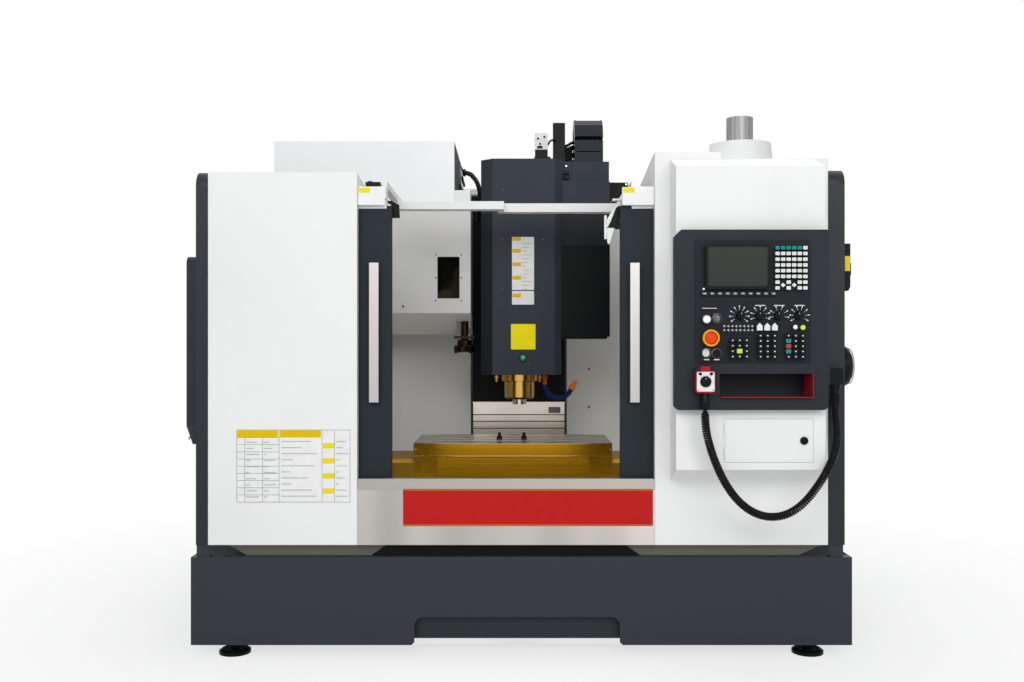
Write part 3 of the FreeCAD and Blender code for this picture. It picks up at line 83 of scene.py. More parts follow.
def add_softbox(name, place, aim, size, power):
    """Rectangular lamp that points at a place."""
    data = bpy.data.lights.new(name, "AREA")
    data.shape = "RECTANGLE"
    data.size, data.size_y = size
    data.energy = power
    lamp = add_object(name, data, place)
    lamp.rotation_euler = (Vector(aim) - Vector(place)).to_track_quat("-Z", "Y").to_euler()


def feed(tree, socket, value):
    """Gives a socket a constant, or links it to a node or to one of a node's outputs."""
    if isinstance(value, bpy.types.Node):
        value = value.outputs[0]
    if isinstance(value, bpy.types.NodeSocket):
        tree.links.new(value, socket)
    else:
        socket.default_value = value


def add_node(tree, kind, inputs=None, **settings):
    """A shader node with its settings and what feeds its sockets."""
    node = tree.nodes.new("ShaderNode" + kind)
    for name, value in settings.items():
        setattr(node, name, value)
    for socket, value in (inputs or {}).items():
        feed(tree, node.inputs[socket], value)
    return node


def worked_out(tree, operation, first, second):
    """What an operation makes of two values in the shader."""
    return add_node(tree, "Math", {0: first, 1: second}, operation=operation)


def empty_tree(owner):
    """The cleared node tree of a world or material."""
    owner.use_nodes = True
    owner.node_tree.nodes.clear()
    return owner.node_tree


def seen_directly(tree):
    """1 for camera, mirror and glass rays, 0 for the light that falls on surfaces."""
    rays = add_node(tree, "LightPath").outputs
    first = worked_out(tree, "MAXIMUM", rays["Is Camera Ray"], rays["Is Glossy Ray"])
    return worked_out(tree, "MAXIMUM", first, rays["Is Transmission Ray"])


def set_world():
    """White surroundings that give a soft, even fill."""
    world = bpy.data.worlds.new("studio")
    tree = empty_tree(world)
    fill = add_node(tree, "Background", {"Color": FILL_COLOUR, "Strength": FILL_STRENGTH})
    backdrop = add_node(tree, "Background", {"Color": WHITE, "Strength": 1.0})
    mix = add_node(tree, "MixShader", {0: seen_directly(tree), 1: fill, 2: backdrop})
    add_node(tree, "OutputWorld", {"Surface": mix})
    bpy.context.scene.world = world


def add_floor():
    """Round white floor that keeps a soft shadow under the machine and fades to plain white."""
    bm = bmesh.new()
    bmesh.ops.create_circle(bm, cap_ends=True, segments=96, radius=FLOOR_RADIUS)
    mesh = bpy.data.meshes.new("floor")
    bm.to_mesh(mesh)
    bm.free()
    floor = add_object("floor", mesh)

    material = bpy.data.materials.new("studio_floor")
    tree = empty_tree(material)
    matt = add_node(tree, "BsdfDiffuse", {"Color": FLOOR_COLOUR})
    plain = add_node(tree, "Emission", {"Color": WHITE, "Strength": 1.0})
    coords = add_node(tree, "TexCoord").outputs["Object"]
    distance = add_node(tree, "VectorMath", {0: coords}, operation="LENGTH").outputs["Value"]
    fade = add_node(tree, "MapRange", {"Value": distance, "From Min": SHADOW_END, "From Max": WHITE_START,
                                       "To Min": SHADOW_WHITE, "To Max": 1.0})
    share = worked_out(tree, "MULTIPLY", fade, seen_directly(tree))
    mix = add_node(tree, "MixShader", {0: share, 1: matt, 2: plain})
    add_node(tree, "OutputMaterial", {"Surface": mix})
    mesh.materials.append(material)


def set_studio():
    """Camera, lamps, surroundings and floor."""
    add_camera()
    set_world()
    for softbox in SOFTBOXES:
        add_softbox(*softbox)
    add_floor()
    bpy.context.scene.view_settings.view_transform = "Standard"


# ---------------------------------------------------------------- finishes

NOISE_LOW, NOISE_HIGH = 0.3, 0.7
LINES = {"X": (0.006, 1, 1), "Z": (1, 1, 0.006)}
ANY = (None, None, None)


def srgb(red, green, blue):
    """A colour as a screen shows it, 0 to 255, in the shader's own units."""
    channels = []
    for value in (red, green, blue):
        share = value / 255
        channels.append(share / 12.92 if share <= 0.04045 else ((share + 0.055) / 1.055) ** 2.4)
    return (*channels, 1.0)


def shade(colour, factor):
    """The same colour, lighter or darker."""
    return tuple(min(1.0, value * factor) for value in colour[:3]) + (1.0,)


class Finish:
    """A material with short names for the nodes that the finishes share."""

    def __init__(self, name, colour, roughness, metallic=0.0):
        self.material = bpy.data.materials.new(name)
        self.material.use_nodes = True
        self.tree = self.material.node_tree
        self.shader = self.tree.nodes["Principled BSDF"]
        self.colour, self.roughness = colour, roughness
        self.set("Base Color", colour)
        self.set("Roughness", roughness)
        self.set("Metallic", metallic)

    def set(self, socket, value):
        """A constant or a node's output on the shader's own socket."""
        feed(self.tree, self.shader.inputs[socket], value)

    def noise(self, scale, detail=3.0, stretch=(1, 1, 1)):
        """Noise in the machine's own coordinates: features a metre, detail and stretch of its axes."""
        coords = add_node(self.tree, "TexCoord").outputs["Object"]
        mapping = add_node(self.tree, "Mapping", {0: coords, "Scale": stretch})
        return add_node(self.tree, "TexNoise", {"Vector": mapping, "Scale": scale, "Detail": detail})

    def spread(self, noise, low, high):
        """The middle of a noise's range, mapped to two values."""
        return add_node(self.tree, "MapRange", {"Value": self.noise(*noise), "From Min": NOISE_LOW,
                                                "From Max": NOISE_HIGH, "To Min": low, "To Max": high})

    def mix(self, share, first, second):
        """Base colour mixed from two."""
        mix = add_node(self.tree, "Mix", {0: share, 6: first, 7: second}, data_type="RGBA")
        self.set("Base Color", mix.outputs[2])

    def tint(self, noise, darker, lighter):
        """Base colour that wanders between two shades of the finish's own."""
        self.mix(self.spread(noise, 0, 1), shade(self.colour, darker), shade(self.colour, lighter))

    def gloss(self, noise, change):
        """Roughness that wanders either side of the finish's own."""
        self.set("Roughness", self.spread(noise, self.roughness - change, self.roughness + change))

    def bump(self, noise, strength, height):
        """Surface relief of a given height in metres."""
        self.set("Normal", add_node(self.tree, "Bump", {
            "Height": self.noise(*noise), "Strength": strength, "Distance": height}))

    def zoned(self, zones):
        """The material, with other colours inside boxes of the machine's frame: (low, high, colour)."""
        coords = add_node(self.tree, "TexCoord").outputs["Object"]
        parts = add_node(self.tree, "SeparateXYZ", {0: coords}).outputs
        for low, high, colour in zones:
            inside = None
            for axis in range(3):
                for limit, test in ((low[axis], "GREATER_THAN"), (high[axis], "LESS_THAN")):
                    if limit is not None:
                        check = worked_out(self.tree, test, parts[axis], limit)
                        inside = worked_out(self.tree, "MULTIPLY", inside, check) if inside else check
            self.mix(inside, self.shader.inputs["Base Color"].links[0].from_socket, colour)
        return self.material


def powder_coat(name, colour, roughness, peel, shine=0.5, zones=()):
    """Baked paint on sheet metal, with a fine orange peel and slow changes of gloss."""
    finish = Finish(name, colour, roughness)
    finish.set("Specular IOR Level", shine)
    finish.tint((1.7, 2.0), 0.97, 1.02)
    finish.gloss((5.0, 4.0), 0.05)
    finish.bump((620.0, 2.0), peel, 0.0004)
    return finish.zoned(zones)


def matt_paint_and_shade(name, colour):
    """Dead flat grey on a face that is seen edge on; the grey is partly the face's own paint and partly
    painted shade.
    """
    finish = Finish(name, colour, 0.80)
    finish.set("Specular IOR Level", 0.0)
    finish.tint((12.0,), 0.94, 1.05)
    finish.bump((500.0, 2.0), 0.10, 0.0003)
    return finish.material


def rolled_sheet_and_painted_light(name, colour, roughness):
    """Stainless sheet with fine lines along X and broad, soft bands across them, the bands partly painted
    reflection; above 0.656 m, on its sloping top, it is darker as painted shade.
    """
    finish = Finish(name, colour, roughness, 1.0)
    finish.tint((3.1, 1.0, (1, 0.02, 0.02)), 0.62, 1.12)
    finish.gloss((260.0, 2.0, LINES["X"]), 0.04)
    finish.bump((2200.0, 2.0, LINES["X"]), 0.04, 0.0001)
    # Painted shade: darker grey on the sill's sloping top above 0.656 m.
    return finish.zoned([((None, None, 0.6558), ANY, srgb(150, 147, 142))])


def drawn_tube(name, colour, roughness):
    """Bare tube with strong, uneven lines along Z."""
    finish = Finish(name, colour, roughness, 0.7)
    lines = (70.0, 4.0, (1, 1, 0.02))
    finish.tint(lines, 0.40, 1.25)
    finish.gloss(lines, 0.08)
    finish.bump(lines, 0.10, 0.0003)
    return finish.material


def brushed_metal(name, colour, roughness, along, metallic=1.0):
    """Metal or metallic film with fine lines along one axis."""
    finish = Finish(name, colour, roughness, metallic)
    lines = (2200.0, 2.0, LINES[along])
    finish.tint(lines, 0.95, 1.04)
    finish.gloss((260.0, 2.0, LINES[along]), 0.04)
    finish.bump(lines, 0.05, 0.0001)
    return finish.material


def machined_metal(name, colour, roughness, stain=0.12):
    """Ground or turned steel with slight stains."""
    finish = Finish(name, colour, roughness, 1.0)
    finish.tint((14.0, 5.0), 1 - stain, 1 + stain / 2)
    finish.gloss((40.0, 4.0), stain / 2)
    finish.bump((900.0, 2.0, (0.05, 1, 1)), stain / 2, 0.0002)
    return finish.material


def cast_paint(name, colour, roughness):
    """Filled and painted casting, gently uneven."""
    finish = Finish(name, colour, roughness)
    finish.tint((4.0, 4.0), 0.90, 1.08)
    finish.gloss((30.0,), 0.06)
    finish.bump((90.0, 5.0), 0.25, 0.0010)
    return finish.material


def moulded(name, colour, roughness, grain=0.10, zones=()):
    """Moulded plastic or rubber with a fine grain."""
    finish = Finish(name, colour, roughness)
    finish.set("Specular IOR Level", 0.10)
    finish.tint((30.0,), 0.94, 1.05)
    finish.gloss((55.0,), 0.05)
    finish.bump((1400.0, 2.0), grain, 0.0003)
    return finish.zoned(zones)


def printed_film(name, colour, roughness=0.42):
    """Printed self-adhesive film, faintly mottled."""
    finish = Finish(name, colour, roughness)
    finish.set("Specular IOR Level", 0.10)
    finish.tint((22.0, 4.0), 0.95, 1.03)
    finish.gloss((35.0, 2.0), 0.04)
    finish.bump((320.0, 2.0), 0.05, 0.0002)
    return finish.material


def clear_sheet(name, colour, roughness, index):
    """Clear or tinted polycarbonate sheet with faint wipe marks."""
    finish = Finish(name, colour, roughness)
    finish.set("Transmission Weight", 1.0)
    finish.set("IOR", index)
    finish.gloss((9.0, 4.0), 0.02)
    return finish.material


def lens(name, colour, glow):
    """Lamp lens with a faint light of its own."""
    finish = Finish(name, colour, 0.18)
    finish.set("Coat Weight", 0.6)
    finish.set("Emission Color", colour)
    finish.set("Emission Strength", glow)
    finish.tint((160.0, 2.0), 0.92, 1.06)
    return finish.material


DARK_SHINE = 0.25
# Near-black used only as painted shade, on the lower part of the box beside the head.
PAINTED_SHADE_BLACK = srgb(9, 11, 13)
WHITE_COAT = powder_coat("white_coat", srgb(236, 236, 235), 0.40, 0.10, 0.35)
LINER_COAT = powder_coat("liner_coat", srgb(248, 248, 245), 0.42, 0.12)
DARK_COAT = powder_coat("dark_coat", srgb(43, 49, 56), 0.46, 0.30, DARK_SHINE)
DOOR_COAT = powder_coat("door_coat", srgb(41, 47, 52), 0.48, 0.26, 0.08)
DARKER_COAT = powder_coat("darker_coat", srgb(34, 39, 45), 0.44, 0.30, DARK_SHINE)
# Head cover paint with painted shade in three zones: darker on the left bevel below 1.85 m, darker on the box
# at its right side below 1.9 m, and near-black there below 1.7 m.
HEAD_COAT_AND_SHADE = powder_coat("head_coat_and_shade", srgb(52, 58, 66), 0.46, 0.24, 0.10, [
    (ANY, (-0.1312, None, 1.8500), srgb(34, 39, 44)),
    ((0.1995, None, None), (None, None, 1.8995), srgb(34, 36, 41)),
    ((0.1995, None, None), (None, None, 1.7000), PAINTED_SHADE_BLACK)])
PANEL_COAT = powder_coat("panel_coat", srgb(40, 44, 50), 0.48, 0.35, 0.12)
# Coolant tank paint; the near-black zone on its face between y -0.8265 and -0.8225, above 0.3 m, is painted
# shadow in the gap under the sill.
TANK_COAT_AND_SHADOW = powder_coat("tank_coat_and_shadow", srgb(34, 39, 45), 0.44, 0.30, DARK_SHINE, [
    ((None, None, 0.331), ANY, srgb(112, 111, 103)),
    ((None, -0.8265, 0.3), (None, -0.8225, None), srgb(4, 4, 5))])
# White cover paint; the tool changer's lower front, from 1.374 to 1.884 m, is greyed as painted shade under
# the hood.
COVER_COAT_AND_SHADE = powder_coat("cover_coat_and_shade", srgb(250, 250, 250), 0.40, 0.10, 0.35, [
    ((None, None, 1.3738), (None, None, 1.8835), srgb(208, 207, 204))])
# The hood's side face: grey that is partly its own paint, partly painted shade.
HOOD_SIDE_SHADE = matt_paint_and_shade("hood_side_shade", srgb(118, 118, 120))
PLATE_COAT = printed_film("plate_film", srgb(31, 34, 39), 0.46)
# Sill steel with painted reflection in its broad bands and painted shade on its top.
SILL_STEEL_PAINTED_LIGHT = rolled_sheet_and_painted_light("sill_steel_painted_light", srgb(196, 192, 186), 0.38)
SLAT_STEEL = brushed_metal("slat_steel", srgb(222, 215, 206), 0.30, "X")
HANDLE_STEEL = brushed_metal("handle_steel", srgb(176, 172, 171), 0.40, "Z")
GOLD_FILM = brushed_metal("gold_film", srgb(200, 148, 26), 0.30, "X", 0.9)
# Darker, duller copy of the gold film for the way covers beside the table: painted shade.
GOLD_SHADE = brushed_metal("gold_shade", srgb(150, 112, 18), 0.50, "X", 0.6)
BRASS = machined_metal("brass", srgb(214, 168, 84), 0.20)
TABLE_STEEL = machined_metal("table_steel", srgb(168, 161, 146), 0.30, 0.04)
SHAFT_STEEL = machined_metal("shaft_steel", srgb(205, 204, 200), 0.20)
CHROME = machined_metal("chrome", srgb(226, 226, 226), 0.10)
DARK_STEEL = machined_metal("dark_steel", srgb(92, 92, 94), 0.34)
OILED_STEEL = machined_metal("oiled_steel", srgb(48, 37, 33), 0.46)
COPPER = machined_metal("copper", srgb(196, 112, 70), 0.26)
CASTING = cast_paint("casting_paint", srgb(96, 104, 110), 0.50)
BLACK_PLASTIC = moulded("black_plastic", srgb(19, 20, 22), 0.40)
CHAIN_PLASTIC = moulded("chain_plastic", srgb(40, 44, 51), 0.42)
BRUSHED_SLEEVE = drawn_tube("drawn_sleeve", srgb(158, 158, 158), 0.50)
SPIGOT_COAT = powder_coat("spigot_coat", srgb(230, 230, 229), 0.42, 0.10, 0.3)
WALL_STRIP = powder_coat("wall_strip", srgb(244, 245, 242), 0.42, 0.12)
BLACK_SATIN = moulded("black_satin", srgb(14, 15, 17), 0.36)
BLACK_RUBBER = moulded("black_rubber", srgb(20, 20, 21), 0.62, 0.25)
CORD_SKIN = moulded("cord_skin", srgb(22, 22, 24), 0.36, 0.08)
GREY_PLASTIC = moulded("grey_plastic", srgb(120, 122, 124), 0.40)
WHITE_PLASTIC = moulded("white_plastic", srgb(232, 232, 230), 0.36)
TEAL_PLASTIC = moulded("teal_plastic", srgb(20, 138, 134), 0.36)
RED_PLASTIC = moulded("red_plastic", srgb(172, 30, 36), 0.34, 0.10, [
    (ANY, (None, None, 1.0480), srgb(16, 17, 19)),
    ((None, None, 1.1285), (0.6590, None, None), srgb(34, 37, 42)),
    ((0.6930, None, 1.1285), ANY, srgb(34, 37, 42))])
RED_LINING = powder_coat("red_lining", srgb(150, 26, 34), 0.40, 0.12)
RED_KEY = moulded("red_key", srgb(196, 60, 66), 0.36)
GREEN_KEY = lens("green_key", srgb(178, 206, 44), 0.25)
AMBER_RING = moulded("amber_ring", srgb(240, 164, 40), 0.34)
STOP_RED = moulded("stop_red", srgb(232, 72, 26), 0.28)
BLUE_HOSE = moulded("blue_hose", srgb(22, 38, 96), 0.34)
ORANGE_TIP = moulded("orange_tip", srgb(228, 112, 48), 0.36)
BANNER_RED = printed_film("banner_red", srgb(190, 30, 28), 0.38)
LABEL_WHITE = printed_film("label_white", srgb(238, 238, 236))
LABEL_YELLOW = printed_film("label_yellow", srgb(238, 218, 44))
SQUARE_YELLOW = printed_film("square_yellow", srgb(255, 238, 10))
LABEL_AMBER = printed_film("label_amber", srgb(226, 190, 18))
LABEL_GREY = printed_film("label_grey", srgb(186, 188, 190))
LABEL_LINE = printed_film("label_line", srgb(120, 122, 124))
LEGEND_WHITE = printed_film("legend_white", srgb(216, 218, 220))
GREEN_LENS = lens("green_lens", srgb(24, 140, 108), 0.10)
WHITE_LENS = lens("white_lens", srgb(236, 236, 236), 0.25)
SCREEN_GLASS = printed_film("screen_glass", srgb(50, 52, 48), 0.26)
DOOR_GLASS = clear_sheet("door_glass", (0.72, 0.76, 0.75, 1.0), 0.05, 1.45)
WINDOW_GLASS = clear_sheet("window_glass", (0.20, 0.19, 0.13, 1.0), 0.04, 1.08)
POT_PLASTIC = moulded("pot_plastic", srgb(88, 82, 56), 0.42)

NODES_WITH = (
    (WHITE_COAT, "front_panels roof_frame electrical_cabinet cabinet_door operator_cabinet access_door"),
    (DARK_COAT, "skirt_panels"), (DARKER_COAT, "side_panels"), (TANK_COAT_AND_SHADOW, "coolant_tank"),
    (LINER_COAT, "inner_liner"), (DOOR_COAT, "left_door right_door"), (PANEL_COAT, "pendant_housing"),
    (PLATE_COAT, "operator_plates"), (SPIGOT_COAT, "extraction_spigot"), (HEAD_COAT_AND_SHADE, "head_cover"),
    (COVER_COAT_AND_SHADE, "magazine_cover"), (CASTING, "bed_casting column_casting saddle headstock"),
    (SHAFT_STEEL, "linear_rails x_ballscrew y_ballscrew z_ballscrew spindle_shaft"),
    (SILL_STEEL_PAINTED_LIGHT, "front_sill"), (SLAT_STEEL, "z_cover_top z_slat_sliding z_slat_fixed"),
    (HANDLE_STEEL, "left_door_handle right_door_handle"), (TABLE_STEEL, "table"),
    (GOLD_FILM, "table_apron"), (GOLD_SHADE, "x_cover_ends x_cover_left x_cover_right"),
    (BRASS, "spindle_housing"), (OILED_STEEL, "tool_arm"), (POT_PLASTIC, "magazine_disc"),
    (DOOR_GLASS, "left_door_window right_door_window"), (STOP_RED, "estop_button"),
    (WHITE_PLASTIC, "white_button"), (GREY_PLASTIC, "key_switch"), (RED_PLASTIC, "mpg_handset"),
    (BLACK_PLASTIC, "axis_motors dark_button side_fittings"),
    (BLACK_SATIN, "levelling_feet access_latch selector_1 selector_2 selector_3 selector_4"),
    (BLACK_SATIN, "mpg_dial main_switch"),
)
EDGES_OF = (
    (1.0, "table"), (1.2, "access_door"), (2.0, "side_panels electrical_cabinet magazine_cover"),
    (1.5, "front_sill roof_frame cabinet_door left_door right_door left_door_handle right_door_handle"),
    (2.5, "front_panels skirt_panels operator_cabinet head_cover"),
    (3.0, "pendant_housing saddle headstock"), (5.0, "bed_casting column_casting"),
)
WELD_DISTANCE = 0.02


def dress_nodes():
    """Gives each CAD node its finish, and each folded or cast one its rounded edges, in millimetres."""
    for finish, names in NODES_WITH:
        for name in names.split():
            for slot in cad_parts[name].material_slots:
                slot.material = finish
    for width, names in EDGES_OF:
        for name in names.split():
            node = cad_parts[name]
            node.modifiers.new("weld", "WELD").merge_threshold = WELD_DISTANCE * MM
            add_bevel(node, width * MM)


# ---------------------------------------------------------------- building pieces

# How far plates reach into what they sit on, a film's thickness, and how far a cover stands off the
# CAD solid that it covers.
SINK, FILM, SKIN = 0.0004, 0.0008, 0.0006
CLOSE_ENOUGH = 0.000001
ROUNDED_FROM, SMOOTH_UP_TO = math.radians(40), math.radians(35)


def add_bevel(thing, width):
    """Small rounded edges."""
    bevel = thing.modifiers.new("edges", "BEVEL")
    bevel.width = width
    bevel.segments = 2
    bevel.limit_method = "ANGLE"
    bevel.angle_limit = ROUNDED_FROM
    bevel.harden_normals = True


def about(middle, half):
    """The two values at a distance either side of a middle."""
    return middle - half, middle + half


def wider(low, high, by=SKIN):
    """A span, let out at both ends."""
    return low - by, high + by


def on_circle(centre, radius, angle):
    """Two coordinates of a point at an angle on a circle."""
    return centre[0] + radius * math.cos(angle), centre[1] + radius * math.sin(angle)


def on_axis(axis, level, u, v):
    """A point at a level on one axis, with its other two coordinates in order."""
    return Vector({"X": (level, u, v), "Y": (u, level, v), "Z": (u, v, level)}[axis])


def carried(across, along):
    """The last sideways direction, kept square to the line."""
    if across is None:
        across = along.orthogonal().normalized()
    return (across - along * across.dot(along)).normalized()


def rounded(x, z, radius, steps=5):
    """Outline of a rectangle with round corners."""
    corners = ((x[1] - radius, z[1] - radius, 0), (x[0] + radius, z[1] - radius, 90),
               (x[0] + radius, z[0] + radius, 180), (x[1] - radius, z[0] + radius, 270))
    points = []
    for centre_x, centre_z, start in corners:
        for step in range(steps + 1):
            angle = math.radians(start + 90 * step / steps)
            points.append(on_circle((centre_x, centre_z), radius, angle))
    return points


def bent_line(points, steps=8):
    """Points along straight runs joined by the largest arcs that fit."""
    points = [Vector(point) for point in points]
    line = [points[0]]
    for before, corner, after in zip(points, points[1:], points[2:]):
        towards = (before - corner).normalized()
        onward = (after - corner).normalized()
        reach = 0.45 * min((before - corner).length, (after - corner).length)
        turn = math.pi - towards.angle(onward)
        radius = reach / math.tan(turn / 2)
        centre = corner + (towards + onward).normalized() * math.hypot(reach, radius)
        first = corner + towards * reach - centre
        last = corner + onward * reach - centre
        for step in range(steps + 1):
            share = step / steps
            first_share = math.sin((1 - share) * turn) / math.sin(turn)
            last_share = math.sin(share * turn) / math.sin(turn)
            line.append(centre + first * first_share + last * last_share)
    line.append(points[-1])
    return line


class Span:
    """A CAD node's box at rest, with its faces and its middle by name."""

    def __init__(self, node):
        low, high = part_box(node)
        self.left, self.front, self.bottom = low
        self.right, self.back, self.top = high
        self.x, self.y, self.z = (sum(ends) / 2 for ends in zip(low, high))


class Shape:
    """A mesh under construction. Each method adds one solid, moved by place, and returns the shape."""

    def __init__(self):
        self.bm = bmesh.new()
        self.place = Matrix()

    def ring(self, points):
        """Vertices at a list of points."""
        return [self.bm.verts.new(self.place @ Vector(point)) for point in points]

    def join(self, first, second):
        """Faces between two rings, either of which may be a single point."""
        count = max(len(first), len(second))
        for n in range(count if count > 1 else 0):
            m = (n + 1) % count
            corners = (first[n % len(first)], second[n % len(second)],
                       second[m % len(second)], first[m % len(first)])
            self.bm.faces.new(list(dict.fromkeys(corners)))

    def prism(self, outline, low, high, axis="Y"):
        """An outline of two coordinates, pushed along the third axis."""
        near, far = (self.ring(on_axis(axis, level, u, v) for u, v in outline) for level in (low, high))
        self.bm.faces.new(near)
        self.bm.faces.new(reversed(far))
        self.join(near, far)
        return self

    def box(self, x, y, z):
        """A block between two values on each axis."""
        return self.prism([(x[0], z[0]), (x[1], z[0]), (x[1], z[1]), (x[0], z[1])], *y)

    def plate(self, x, y, z, radius):
        """A plate that faces the front, with round corners."""
        return self.prism(rounded(x, z, radius), *y)

    def film(self, x, z, surface, lift=FILM, radius=None):
        """A thin sheet on a surface that faces the front."""
        y = (surface - lift, surface + SINK)
        return self.plate(x, y, z, radius) if radius else self.box(x, y, z)

    def pierced_plate(self, x, y, z, radius, centre, hole, steps=96):
        """A plate that faces the front, with round corners and a round hole."""
        half_x, half_z = (x[1] - x[0]) / 2 - radius, (z[1] - z[0]) / 2 - radius
        middle_x, middle_z = (x[0] + x[1]) / 2, (z[0] + z[1]) / 2

        def edge(angle):
            """How far the plate's rim is from the hole's centre."""
            inside, outside = hole, (x[1] - x[0]) + (z[1] - z[0])
            while outside - inside > CLOSE_ENOUGH:
                reach = (inside + outside) / 2
                u, v = on_circle(centre, reach, angle)
                u, v = abs(u - middle_x) - half_x, abs(v - middle_z) - half_z
                if math.hypot(max(u, 0), max(v, 0)) + min(max(u, v), 0) > radius:
                    outside = reach
                else:
                    inside = reach
            return inside

        rings = []
        for pierced, level in ((True, y[0]), (False, y[0]), (False, y[1]), (True, y[1])):
            ring = []
            for step in range(steps):
                angle = 2 * math.pi * step / steps
                u, v = on_circle(centre, hole if pierced else edge(angle), angle)
                ring.append((u, level, v))
            rings.append(self.ring(ring))
        for first, second in zip(rings, rings[1:] + rings[:1]):
            self.join(second, first)
        return self

    def turned(self, centre, profile, axis="Y", steps=28):
        """A turned shape; the profile holds (radius, distance along the axis)."""
        rings = []
        for radius, along in profile:
            angles = [2 * math.pi * n / steps for n in range(steps if radius else 1)]
            rings.append(self.ring(
                Vector(centre) + on_axis(axis, along, *on_circle((0, 0), radius, angle)) for angle in angles))
        for pair in zip(rings, rings[1:]):
            self.join(*pair)
        return self

    def cap(self, centre, crown, *rim, axis="Y", steps=28):
        """A turned solid: its crown on the axis, the points of its rim, and a flat end."""
        return self.turned(centre, [(0, crown), *rim, (0, rim[-1][1])], axis, steps)

    def tube(self, points, radius, sides=10):
        """A round tube along a line, closed at both ends; radius is one value or one a point."""
        points = [Vector(point) for point in points]
        radii = radius if isinstance(radius, list) else [radius] * len(points)
        rings = []
        across = None
        for number, point in enumerate(points):
            along = (points[min(number + 1, len(points) - 1)] - points[max(number - 1, 0)]).normalized()
            across = carried(across, along)
            upward = along.cross(across)
            angles = [2 * math.pi * n / sides for n in range(sides)]
            rings.append(self.ring(
                point + (across * math.cos(angle) + upward * math.sin(angle)) * radii[number]
                for angle in angles))
        for pair in zip(rings, rings[1:]):
            self.join(*pair)
        self.bm.faces.new(rings[0])
        self.bm.faces.new(reversed(rings[-1]))
        return self

    def conduit(self, points, radius, pitch=0.006, rise=0.0009):
        """Ribbed conduit along a bent line."""
        line = bent_line(points)
        stations, radii = [], []
        for start, end in zip(line, line[1:]):
            count = max(1, round((end - start).length / pitch))
            for number in range(count):
                for share, height in ((0.0, 0.0), (0.35, rise), (0.65, rise)):
                    stations.append(start.lerp(end, (number + share) / count))
                    radii.append(radius + height)
        return self.tube(stations + [line[-1]], radii + [radius], 14)

    def piece(self, name, finish, body="root", edge=0.0):
        """The finished piece, which rides on a body; edge rounds its edges."""
        bmesh.ops.recalc_face_normals(self.bm, faces=self.bm.faces)
        mesh = bpy.data.meshes.new(name)
        self.bm.to_mesh(mesh)
        self.bm.free()
        mesh.shade_smooth()
        mesh.set_sharp_from_angle(angle=SMOOTH_UP_TO)
        mesh.materials.append(finish)
        thing = add_object(name, mesh)
        if edge:
            add_bevel(thing, edge)
        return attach(thing, body)


def film_piece(name, finish, x, z, surface, lift, radius=None, body="root", edge=0.0):
    """A thin sheet on a surface that faces the front, as a piece of its own."""
    Shape().film(x, z, surface, lift, radius).piece(name, finish, body, edge)


def fixings(name, finish, centres, crown, *rim, body="root", axis="Y", steps=14):
    """One piece of equal turned heads."""
    heads = Shape()
    for centre in centres:
        heads.cap(centre, crown, *rim, axis=axis, steps=steps)
    heads.piece(name, finish, body)


# ---------------------------------------------------------------- hand-wheel cord

CORD_ROUTE = (
    (0.676, -1.232, 0.988), (0.676, -1.232, 0.930), (0.690, -1.230, 0.862), (0.716, -1.226, 0.786),
    (0.754, -1.221, 0.708), (0.802, -1.215, 0.644), (0.860, -1.209, 0.600), (0.925, -1.204, 0.582),
    (0.990, -1.200, 0.592), (1.048, -1.197, 0.630), (1.096, -1.193, 0.686), (1.136, -1.187, 0.744),
    (1.170, -1.168, 0.800), (1.194, -1.134, 0.850), (1.210, -1.090, 0.892), (1.217, -1.052, 0.938),
    (1.218, -1.033, 0.986), (1.218, -1.032, 1.030),
)
COIL_DIAMETER = 0.032
WIRE_DIAMETER = 0.0082
WIRE_PITCH = 0.0088
STRAIGHT_END = 0.018
STEPS_A_TURN = 14


def route_line():
    """Points read along the smooth line through the cord's route."""
    curve = bpy.data.curves.new("cord_route", "CURVE")
    curve.dimensions = "3D"
    curve.resolution_u = 24
    spline = curve.splines.new("NURBS")
    spline.points.add(len(CORD_ROUTE) - 1)
    for point, place in zip(spline.points, CORD_ROUTE):
        point.co = (*place, 1.0)
    spline.order_u = 3
    spline.use_endpoint_u = True
    holder = add_object("cord_route", curve)
    bpy.context.view_layer.update()
    mesh = bpy.data.meshes.new_from_object(holder)
    points = [vertex.co.copy() for vertex in mesh.vertices]
    bpy.data.meshes.remove(mesh)
    bpy.data.objects.remove(holder)
    bpy.data.curves.remove(curve)
    return points


def coil_along(line):
    """Points of a close helix round a line, straight for a little at each end."""
    lengths = [0.0]
    for first, second in zip(line, line[1:]):
        lengths.append(lengths[-1] + (second - first).length)
    total = lengths[-1]
    count = int(total / WIRE_PITCH * STEPS_A_TURN)
    helix_radius = (COIL_DIAMETER - WIRE_DIAMETER) / 2
    points = []
    across = None
    segment = 0
    for number in range(count + 1):
        travel = total * number / count
        while segment < len(line) - 2 and lengths[segment + 1] < travel:
            segment += 1
        start, end = line[segment], line[segment + 1]
        share = (travel - lengths[segment]) / (lengths[segment + 1] - lengths[segment])
        along = (end - start).normalized()
        across = carried(across, along)
        upward = along.cross(across)
        swell = min(1.0, travel / STRAIGHT_END, (total - travel) / STRAIGHT_END)
        angle = 2 * math.pi * number / STEPS_A_TURN
        offset = (across * math.cos(angle) + upward * math.sin(angle)) * helix_radius * swell
        points.append(start.lerp(end, share) + offset)
    return points


